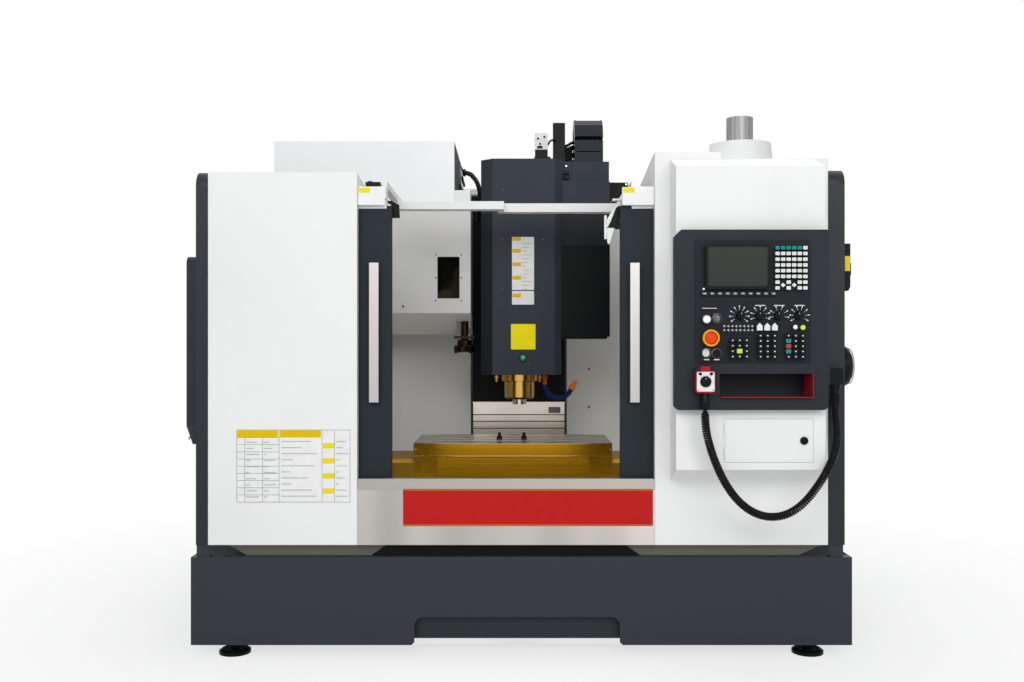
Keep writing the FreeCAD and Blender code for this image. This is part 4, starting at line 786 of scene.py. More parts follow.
def hand_wheel_cord():
    """Curly cord from the hand-wheel box to its gland on the side, with a tapered boot at the gland."""
    line = route_line()
    coil = Shape().tube(coil_along(line), WIRE_DIAMETER / 2, 8).piece("hand_wheel_cord", CORD_SKIN)
    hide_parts("mpg_cord")

    boot = [(0.0125, -0.046), (0.0175, -0.044)]
    for ridge in range(5):
        low, grown = -0.040 + ridge * 0.008, ridge * 0.0006
        boot += [(0.018 + grown, low), (0.018 + grown, low + 0.005),
                 (0.0165 + grown, low + 0.0055), (0.0165 + grown, low + 0.0075)]
    boot += [(0.020, 0.0), (0, 0.0)]
    relief = Shape().turned(CORD_ROUTE[-1], boot, "Z").piece("cord_boot", BLACK_RUBBER)


# ---------------------------------------------------------------- labels and panels at the front

FRONT = Span("front_panels").front


def instruction_plate():
    """Wide plate on the left panel: two headed tables and a narrow column of plain yellow fields."""
    left, right = -1.1194, -0.6684
    bottom, top = 0.6047, 0.8949
    columns = (left, -0.9507, -0.7821, -0.7331, right)
    header, thick, thin = 0.033, 0.0012, 0.0014
    field_rise, print_rise = 0.0006, 0.0005
    surface = FRONT - thick
    film_piece("instruction_plate", LABEL_WHITE, (left, right), (bottom, top), FRONT, thick, 0.004,
               edge=0.0003)

    headers = Shape()
    for first, second in zip(columns, columns[1:3]):
        headers.film((first + 0.004, second - 0.004), (top - header, top - 0.004), surface, field_rise)
    headers.piece("plate_headers", LABEL_AMBER)

    fields = Shape()
    for number in range(4):
        middle = bottom + 0.0475 + number * 0.059
        fields.film((columns[2] + 0.003, columns[3] - 0.001), about(middle, 0.0105), surface, field_rise)
    fields.piece("plate_yellow_fields", LABEL_YELLOW)

    rules = Shape()
    for x in (left + 0.003, *columns[1:4], right - 0.003 - thin):
        rules.film((x, x + thin), (bottom + 0.004, top - 0.004), surface, print_rise)
    for x in (left + 0.034, left + 0.104):
        rules.film((x, x + thin), (bottom + 0.004, top - header), surface, print_rise)
    rows = 9
    for row in range(rows + 1):
        z = bottom + 0.003 + (top - header - bottom - 0.004) * row / rows
        rules.film((left + 0.003, columns[1]), (z, z + thin), surface, print_rise)
    for z in (bottom + 0.003, top - 0.0045):
        rules.film((left + 0.003, right - 0.003), (z, z + thin), surface, print_rise)
    rules.piece("plate_rules", LABEL_LINE)

    bars = Shape()
    for row, share in enumerate((0.78, 0.52, 0.94, 0.30, 0.86, 0.22, 0.70, 0.26, 0.80, 0.92)):
        z = top - header - 0.018 - row * 0.0238
        for start, width, low, height in (
                (columns[1] + 0.010, (columns[2] - columns[1] - 0.020) * share, z, 0.004),
                (columns[3] + 0.006, (right - columns[3] - 0.014) * share, z, 0.0035),
                (left + 0.040, 0.056 * share, z - 0.003, 0.004),
                (left + 0.110, 0.052 * (1.15 - share), z - 0.003, 0.004)):
            bars.film((start, start + width), (low, low + height), surface, print_rise)
    bars.piece("plate_grey_fields", LABEL_GREY)


def banner():
    """Plain red film along the sill, in a thin light border, and a black plate of painted shadow in the gap
    under it.
    """
    surface = Span("front_sill").front
    x, z = (-0.4645, 0.516), (0.5145, 0.6596)
    inset, thin = 0.0035, 0.0012
    film_piece("sill_band", BANNER_RED, x, z, surface, FILM, 0.003)
    lines = Shape()
    for low in (z[0] + inset, z[1] - inset - thin):
        lines.film((x[0] + inset, x[1] - inset), (low, low + thin), surface - FILM, 0.0003)
    lines.piece("sill_band_lines", LABEL_AMBER)
    # Painted shadow: a black plate where the gap under the sill lies in shade.
    gap = [(-0.614, 0.38), (0.49, 0.38), (0.4065, 0.4345), (-0.528, 0.4345)]
    Shape().prism(gap, -0.960, -0.957).piece("sill_gap_shadow", BLACK_RUBBER)


def bracket_plates():
    """Small plates on the brackets over both doors, and the door switch on the left one."""
    surface = FRONT + 0.020
    thick = 0.0015
    for side, left, right in (("left", -0.644, -0.5375), ("right", 0.398, 0.523)):
        film_piece("bracket_plate_" + side, WHITE_COAT, (left, right), (1.776, 1.8465), surface, thick, 0.003,
                   edge=0.0004)
        film_piece("bracket_field_" + side, LABEL_YELLOW, (left + 0.003, left + 0.047), (1.824, 1.844),
                   surface - thick, FILM)
    Shape().box((0.3985, 0.4395), (surface + 0.0002, surface + 0.024), (1.7765, 1.846)).piece(
        "bracket_return", WHITE_COAT, edge=0.001)
    switch = Shape().box((-0.615, -0.557), (surface + 0.004, surface + 0.034), (1.8485, 1.868))
    switch.box((-0.606, -0.590), (surface + 0.008, surface + 0.026), (1.866, 1.872))
    switch.piece("door_switch", BLACK_PLASTIC, edge=0.0015)


# ---------------------------------------------------------------- operator's panel

FACE = Span("pendant_housing").front - 0.004
KEY_TOP = FACE - 0.0042
KEY_FOOT = FACE + 0.0005
KEY_SIZE = (0.019, 0.015)
PRINT = 0.0002
SELECTORS = ((0.8055, 9, 250), (0.8828, 7, 220), (0.9528, 6, 200), (1.028, 8, 240))
SELECTOR_HEIGHT = 1.3338


def grid(first_x, first_z, columns, rows, pitch_x, pitch_z=0.0):
    """Centres of a field of keys, row by row from its top left key."""
    return [(first_x + column * pitch_x, first_z - row * pitch_z)
            for row in range(rows) for column in range(columns)]


def keys(name, centres, width, height, finish):
    """One field of equal key caps with round corners and raised edges."""
    caps = Shape()
    for x, z in centres:
        caps.plate(about(x, width / 2), (KEY_TOP, KEY_FOOT), about(z, height / 2), 0.0022)
    caps.piece(name, finish, edge=0.0008)


def marks(name, places, finish, lift, surface=FACE):
    """Small printed bars: each place is (left, right, bottom, top)."""
    bars = Shape()
    for left, right, bottom, top in places:
        bars.film((left, right), (bottom, top), surface, lift)
    bars.piece(name, finish)


def tick(centre, angle, start, length, half):
    """Outline of a bar that points away from a centre."""
    outward = Vector((math.cos(angle), math.sin(angle)))
    across = Vector((-math.sin(angle), math.cos(angle))) * half
    near = Vector(centre) + outward * start
    far = Vector(centre) + outward * (start + length)
    return [near - across, far - across, far + across, near + across]


def control_unit():
    """Screen surround, soft keys and keypad of the upper plate."""
    pad = grid(0.9462, 1.5854, 6, 8, 0.0206, 0.02124)
    cursor = pad[37:40] + pad[43:46]
    white = [place for place in pad[5:] if place not in cursor]
    keys("keypad_teal", pad[:5], 0.016, 0.0126, TEAL_PLASTIC)
    keys("keypad_white", white, 0.016, 0.0126, WHITE_PLASTIC)
    keys("keypad_cursor", [pad[38], pad[44]], 0.0165, 0.013, WHITE_PLASTIC)
    side_keys = Shape()
    for upper, lower in ((pad[37], pad[43]), (pad[39], pad[45])):
        x, z = upper[0], (upper[1] + lower[1]) / 2
        side_keys.prism([(x - 0.0095, z), (x, z - 0.0085), (x + 0.0095, z), (x, z + 0.0085)],
                        KEY_TOP, KEY_FOOT)
    side_keys.piece("keypad_side_keys", WHITE_PLASTIC, edge=0.0015)
    marks("keypad_marks", [(*about(x, 0.0028), *about(z, 0.0007)) for x, z in white],
          LABEL_LINE, PRINT, KEY_TOP)
    soft = grid(0.6762, 1.4159, 10, 1, 0.0284)
    keys("soft_keys", soft, 0.0158, 0.0088, GREY_PLASTIC)
    marks("soft_key_marks", [(*about(x, 0.004), *about(z, 0.0012)) for x, z in soft],
          LEGEND_WHITE, PRINT, KEY_TOP)

    Shape().cap((0.673, FACE, 1.4326), -0.004, (0.003, -0.0034), (0.0042, -0.001), (0.0042, SINK),
                steps=20).piece("unit_lamp", WHITE_LENS)
    film_piece("screen_bezel", BLACK_SATIN, (0.681, 0.9176), (1.432, 1.598), FACE, 0.0016, 0.004,
               edge=0.0004)
    Shape().plate((0.690, 0.909), (FACE - 0.0028, FACE - 0.0012), (1.443, 1.588), 0.008).piece(
        "screen", SCREEN_GLASS, edge=0.0003)


def operator_plate():
    """Buttons' rings, key fields, printed scales and lamps of the lower plate."""
    left = grid(0.7799, 1.2426, 3, 4, 0.026, 0.020)
    middle = grid(0.883, 1.2598, 3, 5, 0.0264, 0.0195)
    right = grid(0.987, 1.2598, 3, 5, 0.0265, 0.0195)
    lit = left.pop(7)
    coloured = {right[3]: TEAL_PLASTIC, right[6]: RED_KEY, right[9]: TEAL_PLASTIC}
    right = [place for place in right if place not in coloured]
    for side, places in (("left", left), ("middle", middle), ("right", right)):
        keys("field_" + side, places, *KEY_SIZE, BLACK_PLASTIC)
    keys("key_lit", [lit], 0.020, 0.0165, GREEN_KEY)
    for number, (place, finish) in enumerate(coloured.items()):
        keys("key_coloured_" + str(number), [place], *KEY_SIZE, finish)
    marks("field_marks", [(x - 0.0026, x + 0.003, *about(z, 0.0022)) for x, z in left + middle + right],
          LEGEND_WHITE, PRINT, KEY_TOP)

    arrows = Shape()
    for x in (0.8802, 0.9082, 0.9361):
        low, high = about(x, 0.0108)
        arrows.prism([(low, 1.279), (high, 1.279), (high, 1.296), (x, 1.3075), (low, 1.296)],
                     KEY_TOP, KEY_FOOT)
    arrows.piece("arrow_keys", WHITE_PLASTIC, edge=0.001)

    symbols = []
    for x, z in grid(0.750, 1.295, 8, 2, 0.0148, 0.015):
        symbols += [(x - 0.005, x + 0.0046, z - 0.0008, z + 0.0012), (*about(x, 0.0012), *about(z, 0.004))]
    marks("row_symbols", symbols, LEGEND_WHITE, 0.0003)

    rings = Shape()
    for x, z, radius in ((0.6843, 1.3204, 0.015), (0.6843, 1.1953, 0.016),
                         (0.7212, 1.1942, 0.016), (0.7234, 1.3242, 0.0165)):
        rings.turned((x, FACE, z), [(radius, SINK), (radius + 0.0026, SINK), (radius + 0.0022, -0.0024),
                                    (radius + 0.0005, -0.003), (radius, -0.002), (radius, SINK)])
    rings.piece("button_rings", DARK_STEEL)

    lamps = Shape().cap((0.6843, FACE, 1.3204), -0.0105, (0.010, -0.0098), (0.0135, -0.007), (0.014, 0))
    lamps.cap((1.0125, FACE, 1.2915), -0.008, (0.006, -0.0072), (0.0082, -0.004), (0.0085, 0))
    lamps.piece("white_lamps", WHITE_LENS)
    fixings("green_lamp", GREEN_KEY, [(1.0405, FACE, 1.290)], -0.009,
            (0.007, -0.0082), (0.0095, -0.004), (0.0098, 0), steps=28)
    Shape().turned((0.7003, FACE, 1.2512), [
        (0.0245, -0.0085), (0.0295, -0.0085), (0.0315, -0.006), (0.0318, 0.0002), (0.0245, 0.0002),
        (0.0245, -0.0085)], steps=40).piece("stop_ring", AMBER_RING)


def selector_scales():
    """Printed ticks and short bars round the four selectors, and the bars over the buttons."""
    for number, (x, count, sweep) in enumerate(SELECTORS):
        scale = Shape()
        for step in range(count):
            angle = math.radians(90 + sweep / 2 - sweep * step / (count - 1))
            for start, length, half in ((0.0215, 0.0065, 0.0006), (0.0305, 0.0075, 0.0019)):
                scale.prism(tick((x, SELECTOR_HEIGHT), angle, start, length, half), *about(FACE, SINK))
        scale.piece("selector_scale_" + str(number + 1), LEGEND_WHITE)
    bars = [(*about(x, 0.019), 1.370, 1.3735) for x, count, sweep in SELECTORS[1:]]
    bars += [(0.668, 0.722, 1.360, 1.3625)]
    bars += [(*about(x, 0.010), 1.169, 1.173) for x in (0.6843, 0.7212)]
    marks("heading_bars", bars, LEGEND_WHITE, SINK)


def knob_lines():
    """White pointer lines on the turning knobs."""
    for body in ("selector_1", "selector_2", "selector_3", "selector_4", "key_switch", "mpg_dial"):
        knob = Span(body)
        Shape().box(about(knob.x, 0.0008), (knob.front - 0.0004, knob.front + 0.0006),
                    (knob.top - 0.0115, knob.top - 0.006)).piece(body + "_line", LEGEND_WHITE, body)


def hand_wheel_box():
    """White face, scale, small selectors and screws of the hand-wheel box."""
    dial = Span("mpg_dial")
    surface = dial.back - 0.013
    centre = (dial.x, dial.z)
    Shape().pierced_plate((0.6435, 0.7085), (surface - 0.0022, surface + SINK), (1.054, 1.1265), 0.006,
                          centre, 0.0208).piece("hand_wheel_face", WHITE_PLASTIC)
    scale = Shape()
    for step in range(50):
        length = 0.004 if step % 5 == 0 else 0.0022
        scale.prism(tick(centre, 2 * math.pi * step / 50, 0.0215, length, 0.0003),
                    surface - 0.0025, surface - 0.0015)
    scale.piece("hand_wheel_scale", BLACK_PLASTIC)
    knobs = Shape()
    for x in (0.656, 0.696):
        knobs.cap((x, surface, 1.119), -0.009, (0.0045, -0.009), (0.0052, -0.008), (0.0055, -0.002), steps=20)
    for x in (0.649, 0.703):
        for z in (1.060, 1.1215):
            knobs.cap((x, surface, z), -0.0032, (0.0016, -0.003), (0.0022, -0.002), steps=12)
    knobs.piece("hand_wheel_selectors", BLACK_SATIN)


def tray_lining():
    """Red lining on the lower and right edges of the tray recess."""
    left, right = 0.738, 1.082
    bottom, top = 1.029, 1.118
    front = Span("pendant_housing").front
    y = (front + 0.0005, front + 0.132)
    lining = Shape().box((left + 0.001, right - 0.001), y, (bottom + 0.0002, bottom + 0.0022))
    lining.box((right - 0.0022, right - 0.0002), y, (bottom + 0.002, top - 0.001))
    lining.piece("tray_lining", RED_LINING, edge=0.0004)


# ---------------------------------------------------------------- head

HEAD = Span("head_cover")
ROOF = HEAD.top - 0.209


def head_front():
    """Plates, green lamp and screws on the front of the head cover."""
    surface, thick = HEAD.front, 0.001
    plates = Shape()
    for z in ((1.4829, 1.7352), (1.4133, 1.4781)):
        plates.film((-0.037, 0.0678), z, surface, thick, 0.003)
    plates.piece("head_plates", LABEL_WHITE, "head")
    fields = Shape()
    for bottom in (1.717, 1.661, 1.5965, 1.533, 1.448):
        fields.film((-0.035, 0.006), (bottom, bottom + 0.0175), surface - thick, 0.0004)
    fields.piece("head_plate_fields", LABEL_AMBER, "head")
    bars = Shape()
    for number in range(14):
        z = 1.720 - number * 0.018
        right = 0.028 + 0.030 * ((number * 5) % 7) / 6
        bars.film((0.012, right), (z, z + 0.003), surface - thick, 0.0003)
    bars.piece("head_plate_bars", LABEL_GREY, "head")
    film_piece("head_square", SQUARE_YELLOW, (-0.0418, 0.0749), (1.200, 1.3209), surface, 0.0012, 0.004,
               "head")

    lamp = (0.0154, surface, 1.159)
    fixings("head_lamp", GREEN_LENS, [lamp], -0.011, (0.008, -0.010), (0.0135, -0.006), (0.015, 0),
            body="head", steps=28)
    Shape().turned(lamp, [(0.015, SINK), (0.019, SINK), (0.0185, -0.003), (0.0155, -0.0036),
                          (0.015, SINK)]).piece("head_lamp_ring", BLACK_PLASTIC, "head")
    corners = ((-0.0818, 1.7238), (0.112, 1.7238), (-0.0818, 1.4895), (0.112, 1.4895), (0.0439, 1.129),
               (-0.0818, 1.960))
    fixings("head_screws", DARK_STEEL, [(x, surface, z) for x, z in corners], -0.0024,
            (0.0024, -0.0022), (0.0034, -0.001), (0.0034, 0), body="head", steps=16)


def head_top():
    """Valve, cable post and small hoses on top of the head, and the sockets in the slot beside its box."""
    valve_x, valve_y = wider(0.076, 0.137), wider(-0.026, 0.026)
    front = valve_y[0]
    joint = ROOF + 0.064
    base = Shape().box(valve_x, valve_y, (ROOF, joint))
    base.box((valve_x[0] - 0.004, valve_x[1] + 0.014), wider(*valve_y, 0.004), (ROOF, ROOF + 0.030))
    base.piece("valve_base", BLACK_PLASTIC, "head", 0.003)
    Shape().plate(valve_x, valve_y, (joint, ROOF + 0.146 + SKIN), 0.005).piece(
        "valve_block", WHITE_PLASTIC, "head", 0.0015)
    screws = Shape()
    for x, rise in ((0.090, 0.118), (0.121, 0.126), (0.100, 0.092)):
        screws.cap((x, front, ROOF + rise), -0.003, (0.0045, -0.003), (0.0055, 0), steps=16)
    screws.box((0.086, 0.111), (front - 0.002, front + 0.001), (joint + 0.006, joint + 0.018))
    screws.piece("valve_screws", BLACK_PLASTIC, "head")
    post = Shape().plate(wider(0.166, 0.225), wider(0.040, 0.085), (ROOF - 0.05, HEAD.top + SKIN), 0.006)
    post.piece("cable_post", BLACK_SATIN, "head", 0.003)
    start = Vector((0.137, -0.002, ROOF + 0.090))
    loop = [start + Vector(step) for step in
            ((0, 0, 0), (0.014, 0, 0.022), (0.030, 0.012, 0.030), (0.040, 0.044, 0.026))]
    Shape().tube(loop, 0.005).piece("valve_lead", BLACK_RUBBER, "head")

    slot, floor = (0.2005, 0.2535), 2.0105
    plate = (-0.060, -0.055)
    Shape().box(slot, plate, (floor, ROOF)).piece("slot_plate", HEAD_COAT_AND_SHADE, "head", 0.001)
    sockets = Shape()
    for bottom, height in ((0.012, 0.020), (0.036, 0.014)):
        sockets.box((slot[0] + 0.012, slot[1] - 0.014), (plate[0] - 0.015, plate[0] + 0.001),
                    (floor + bottom, floor + bottom + height))
    sockets.box((0.228, 0.262), (0.060, 0.080), (ROOF, ROOF + 0.085))
    sockets.piece("slot_sockets", BLACK_SATIN, "head", 0.002)
    leads = Shape()
    for z, rise in ((2.118, 0.010), (2.136, 0.016), (2.152, 0.012), (2.170, 0.018), (2.188, 0.012),
                    (2.204, 0.016)):
        leads.tube([(0.224, 0.056, z), (0.240, 0.050, z + rise * 0.3), (0.256, 0.054, z + rise),
                    (0.266, 0.070, z + rise * 1.4)], 0.0072)
        leads.turned((0.224, 0.056, z), [(0.0095, 0), (0.0095, 0.010), (0.0065, 0.012), (0, 0.012)], "X", 14)
    leads.piece("post_leads", BLACK_RUBBER, "head")
    fixings("slot_union", SHAFT_STEEL, [(0.225, plate[0], 2.085)], -0.014, (0.0042, -0.014), (0.005, 0),
            body="head", steps=6)


def cable_chain():
    """Links of the cable chain along its loop, in place of the loop's plain outline."""
    chain = Span("cable_chain")
    left, right = chain.left, chain.right
    loop_radius = (chain.back - chain.front) / 2 - 0.034
    centre_z = chain.top - loop_radius - 0.034
    low_front = ROOF + 0.002
    low_back = chain.bottom + 0.024
    pitch, half = 0.059, 0.030
    stations = []
    z = low_front + pitch / 2
    while z < centre_z:
        stations.append((chain.y - loop_radius, z, 90.0))
        z += pitch
    arc_links = 5
    for link in range(arc_links):
        angle = 180 - 180 * (link + 0.5) / arc_links
        stations.append((*on_circle((chain.y, centre_z), loop_radius, math.radians(angle)), angle - 90))
    z = centre_z - pitch / 2
    while z > low_back:
        stations.append((chain.y + loop_radius, z, -90.0))
        z -= pitch
    links = Shape()
    for y, z, tilt in stations:
        links.place = Matrix.Translation((0, y, z)) @ Matrix.Rotation(math.radians(tilt), 4, "X")
        for x in ((left, left + 0.010), (right - 0.010, right)):
            links.box(x, (-pitch * 0.54, pitch * 0.44), (-half, half))
        inside = (left + 0.006, right - 0.006)
        links.box(inside, (-pitch * 0.47, pitch * 0.47), (half - 0.006, half - 0.001))
        links.box(inside, (-pitch * 0.40, pitch * 0.40), (0.001 - half, 0.006 - half))
    links = links.piece("cable_chain_links", CHAIN_PLASTIC, "head", 0.0015)
    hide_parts("cable_chain")

    leads = Shape()
    for number in range(5):
        x = left + 0.026 + number * (right - left - 0.052) / 4
        points = [(x, chain.y - loop_radius, z) for z in (low_front, centre_z - 0.04, centre_z - 0.02)]
        for step in range(13):
            angle = math.pi - math.pi * step / 12
            points.append((x, *on_circle((chain.y, centre_z), loop_radius, angle)))
        points.append((x, chain.y + loop_radius, low_back + 0.01))
        leads.tube(points, 0.008 + 0.002 * (number % 2))
    leads.piece("cable_chain_leads", BLACK_RUBBER, "head")


def coolant_hose():
    """Jointed hose from its fitting under the head to the orange nozzle."""
    bend, sweep, sockets = 0.066, 163, 11
    start = Vector((0.124, 0.0, 1.026))

    def along(share):
        """The angle and place at a share of the bend."""
        angle = math.radians(180 + sweep * share)
        return angle, start + Vector((bend + bend * math.cos(angle), 0, bend * math.sin(angle)))

    hose = Shape()
    for number in range(sockets):
        angle, place = along((number + 0.5) / sockets)
        hose.place = Matrix.Translation(place) @ Matrix.Rotation(-angle - math.pi, 4, "Y")
        hose.cap((0, 0, 0), -0.0098, (0.0098, -0.0098), (0.012, -0.006), (0.013, 0.0005),
                 (0.0112, 0.007), (0.0086, 0.0094), axis="Z", steps=20)
    hose = hose.piece("coolant_hose", BLUE_HOSE, "head")
    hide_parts("coolant_nozzle")

    fittings = Shape().cap(start, -0.002, (0.0095, 0), (0.0105, 0.012), (0.0085, 0.015), (0.0085, 0.026),
                           (0.0125, 0.028), (0.0125, 0.044), (0.009, 0.046),
                           (0.009, HEAD.bottom - start.z), axis="Z", steps=24)
    fittings.place = Matrix.Translation(along(1)[1]) @ Matrix.Rotation(math.radians(32), 4, "Y")
    fittings.cap((0, 0, 0), -0.004, (0.014, -0.004), (0.0162, 0.002), (0.016, 0.012), (0.012, 0.020),
                 (0.0085, 0.044), (0.006, 0.044), (0.006, 0.036), axis="Z", steps=24)
    fittings.piece("coolant_fittings", ORANGE_TIP, "head")


def spindle_details():
    """Screw ring on the spindle flange and the small fittings beside it."""
    flange = Span("spindle_housing")
    angles = [2 * math.pi * (number + 0.5) / 12 for number in range(12)]
    places = [(*on_circle((flange.x, flange.y), 0.081, angle), 1.045) for angle in angles]
    fixings("spindle_screws", DARK_STEEL, places, -0.006, (0.0045, -0.006), (0.0052, -0.005),
            (0.0052, 0.001), body="head", axis="Z")
    foot = 1.040
    for side, x, finish in (("left", -0.112, BRASS), ("right", 0.098, COPPER)):
        fixings("coolant_jet_" + side, finish, [(x, -0.036, foot)], 0, (0.006, 0), (0.0075, 0.006),
                (0.0075, 0.016), (0.0105, 0.018), (0.0105, 0.030), (0.007, 0.032),
                (0.007, HEAD.bottom - foot), body="head", axis="Z", steps=18)


def slat_cover():
    """Black face over the upper part of the rear way cover, the small plate and the slats' black wiper lips,
    which also stand as painted shadow for the dark lines under the slats.
    """
    cover, sliding, fixed = Span("z_cover_top"), Span("z_slat_sliding"), Span("z_slat_fixed")
    edge, bottom = 0.152, 0.912
    face = Shape()
    for x, top in (((cover.left, -edge), cover.top), ((edge, cover.right), cover.top),
                   ((-edge, edge), 1.179)):
        face.film(x, (bottom, top), cover.front, 0.0015)
    face.piece("way_cover_face", BLACK_SATIN, "head")
    plate = Shape().plate((0.1598, 0.224), (cover.front + 0.002, cover.front + 0.0042), (0.852, 0.884), 0.003)
    plate.piece("way_cover_plate", DARK_STEEL, "head")
    # Black wiper lips under each slat, partly painted shadow of the slats' lower edges.
    for name, body, slat, inset, step, low in (
            ("wiper_shadow_top", "head", cover, 0.002, 0.003, cover.bottom),
            ("wiper_shadow_sliding", "z_slat", sliding, 0, -0.0004, sliding.bottom),
            ("wiper_shadow_middle", "root", fixed, 0, -0.0002, 0.767),
            ("wiper_shadow_fixed", "root", fixed, 0, -0.0004, fixed.bottom)):
        front = slat.front + step
        Shape().box((slat.left + inset, slat.right - inset), (front, front + 0.0022),
                    (low - 0.0005, low + 0.004)).piece(name, BLACK_RUBBER, body)


# ---------------------------------------------------------------- table

TABLE = Span("table")
CORNER_X, CORNER_Y = 0.110, 0.024


def table_outline(grow):
    """The table's edge with its long corners cut, a little outside the CAD solid."""
    left, right = wider(TABLE.left, TABLE.right, grow)
    front, back = wider(TABLE.front, TABLE.back, grow)
    return [(left, front + CORNER_Y), (left + CORNER_X, front), (right - CORNER_X, front),
            (right, front + CORNER_Y), (right, back - CORNER_Y), (right - CORNER_X, back),
            (left + CORNER_X, back), (left, back - CORNER_Y)]


def table_ribbon(grow, low, high):
    """A band round the table from one height to another."""
    ribbon = Shape()
    outer, inner = (ribbon.ring((x, y, z) for z in (low, high) for x, y in table_outline(reach))
                    for reach in (grow, 0.0))
    count = len(outer) // 2
    for n in range(count):
        m = (n + 1) % count
        for corners in ((outer[n], outer[m], outer[count + m], outer[count + n]),
                        (outer[count + n], outer[count + m], inner[count + m], inner[count + n]),
                        (outer[m], outer[n], inner[n], inner[m])):
            ribbon.bm.faces.new(corners)
    return ribbon


def table_guard():
    """Gold film on the table's edges with a rolled bead, and two clamping studs in the middle slot."""
    table_ribbon(0.0012, 0.7165, 0.7725).piece("table_edge_film", GOLD_FILM, "table")
    table_ribbon(0.005, 0.712, 0.718).piece("table_bead", BRASS, "table", 0.0015)
    studs = Shape()
    for x in (-0.097, 0.0202):
        studs.cap((x, TABLE.y, 0.754), 0, (0.0075, 0), (0.0075, 0.050), axis="Z", steps=16)
        studs.cap((x, TABLE.y, 0.7745), 0, (0.013, 0), (0.013, 0.012), (0.0085, 0.012), axis="Z", steps=6)
    studs.piece("clamp_studs", BLACK_PLASTIC, "table", 0.0006)
    y = TABLE.front + CORNER_Y - 0.006
    fixings("guard_screws", CHROME, [(x, y, z) for x in (-0.478, 0.412) for z in (0.744, 0.606)], -0.004,
            (0.0035, -0.0035), (0.0045, 0), body="table", steps=12)


# ---------------------------------------------------------------- tool changer and roof

MAGAZINE_LEAD = (
    (-0.2928, 0.590, 2.162), (-0.262, 0.590, 2.154), (-0.224, 0.590, 2.106), (-0.209, 0.600, 2.030),
    (-0.218, 0.650, 1.950), (-0.232, 0.730, 1.890), (-0.232, 0.7698, 1.880))


def magazine_details():
    """Window sheet and screws on the tool changer's cover, its ledge, and the fittings on the hood's side,
    over a grey sheet there that is partly painted shade.
    """
    surface = Span("magazine_cover").front
    Shape().plate((-0.402, -0.282), (surface + 0.0032, surface + 0.0062), (1.437, 1.651), 0.004).piece(
        "magazine_window", WINDOW_GLASS)
    screws = Shape()
    for x in (-0.403, -0.281):
        for z in (1.434, 1.544, 1.654):
            screws.cap((x, surface, z), -0.0026, (0.003, -0.0024), (0.0042, 0), steps=14)
    screws.cap((-0.560, surface, 1.406), -0.003, (0.004, -0.0026), (0.0055, 0), steps=14)
    screws.piece("magazine_screws", DARK_STEEL)
    Shape().box((-0.3135, -0.2365), (surface + 0.0005, surface + 0.150), (1.8825, 1.964)).piece(
        "magazine_ledge", WHITE_COAT, edge=0.002)

    side = -0.314
    # Grey sheet over the hood's side face, partly painted shade.
    Shape().box((side - 0.0002, side + 0.0006), (-0.097, 0.634), (1.884, 2.197)).piece(
        "hood_side_shade_panel", HOOD_SIDE_SHADE)
    Shape().box((side - 0.001, side + 0.012), (0.300, 0.630), (2.055, 2.140)).piece(
        "hood_terminal_box", GREY_PLASTIC, edge=0.003)
    plugs = Shape()
    for number in range(6):
        plugs.turned((side + 0.011, 0.345 + number * 0.048, 2.094),
                     [(0.011, 0), (0.011, 0.006), (0.008, 0.010), (0, 0.010)], "X", 12)
    plugs.box((side - 0.001, side + 0.014), (0.540, 0.632), (2.028, 2.056))
    plugs.turned((side, *MAGAZINE_LEAD[0][1:]), [
        (0.030, 0), (0.030, 0.006), (0.021, 0.008), (0.021, 0.021), (0.015, 0.024), (0.013, 0.024)], "X", 20)
    plugs.piece("hood_connectors", BLACK_PLASTIC)


def changer_arm():
    """Double arm of the tool changer: open jaws at both ends, hub, carrier plate and shaft."""
    arm = Span("tool_arm")
    x, y = arm.x, arm.y
    jaw_radius, gap_radius = 0.044, 0.026
    low, high = 1.190, 1.213
    left, right = arm.left + 0.002, arm.right - 0.002
    changer = Shape().cap((x, y, 0), 1.186, (0.034, 1.186), (0.036, 1.190), (0.036, 1.244),
                          (0.018, 1.248), (0.018, 1.390), axis="Z", steps=32)
    changer.prism([(left, y - 0.040), (right, y - 0.040), (right, y + 0.050), (left, y + 0.050)],
                  1.252, 1.264, "Z")
    changer.prism([(x - 0.021, y - 0.125), (x + 0.021, y - 0.125), (x + 0.030, y), (x + 0.021, y + 0.125),
                   (x - 0.021, y + 0.125), (x - 0.030, y)], low + 0.002, high - 0.002, "Z")
    for end, facing in ((arm.front + jaw_radius, -90), (arm.back - jaw_radius, 90)):
        outline = []
        for radius, angles in ((jaw_radius, range(40, 321, 20)), (gap_radius, range(320, 39, -20))):
            for angle in angles:
                outline.append(on_circle((x, end), radius, math.radians(facing + angle)))
        changer.prism(outline, low, high, "Z")
        for side in (-1, 1):
            changer.cap((x + side * 0.034, end, 0), low - 0.008, (0.008, low - 0.008), (0.008, high + 0.006),
                        axis="Z", steps=14)
    changer = changer.piece("changer_arm", OILED_STEEL, "tool_arm", 0.001)
    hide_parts("tool_arm")


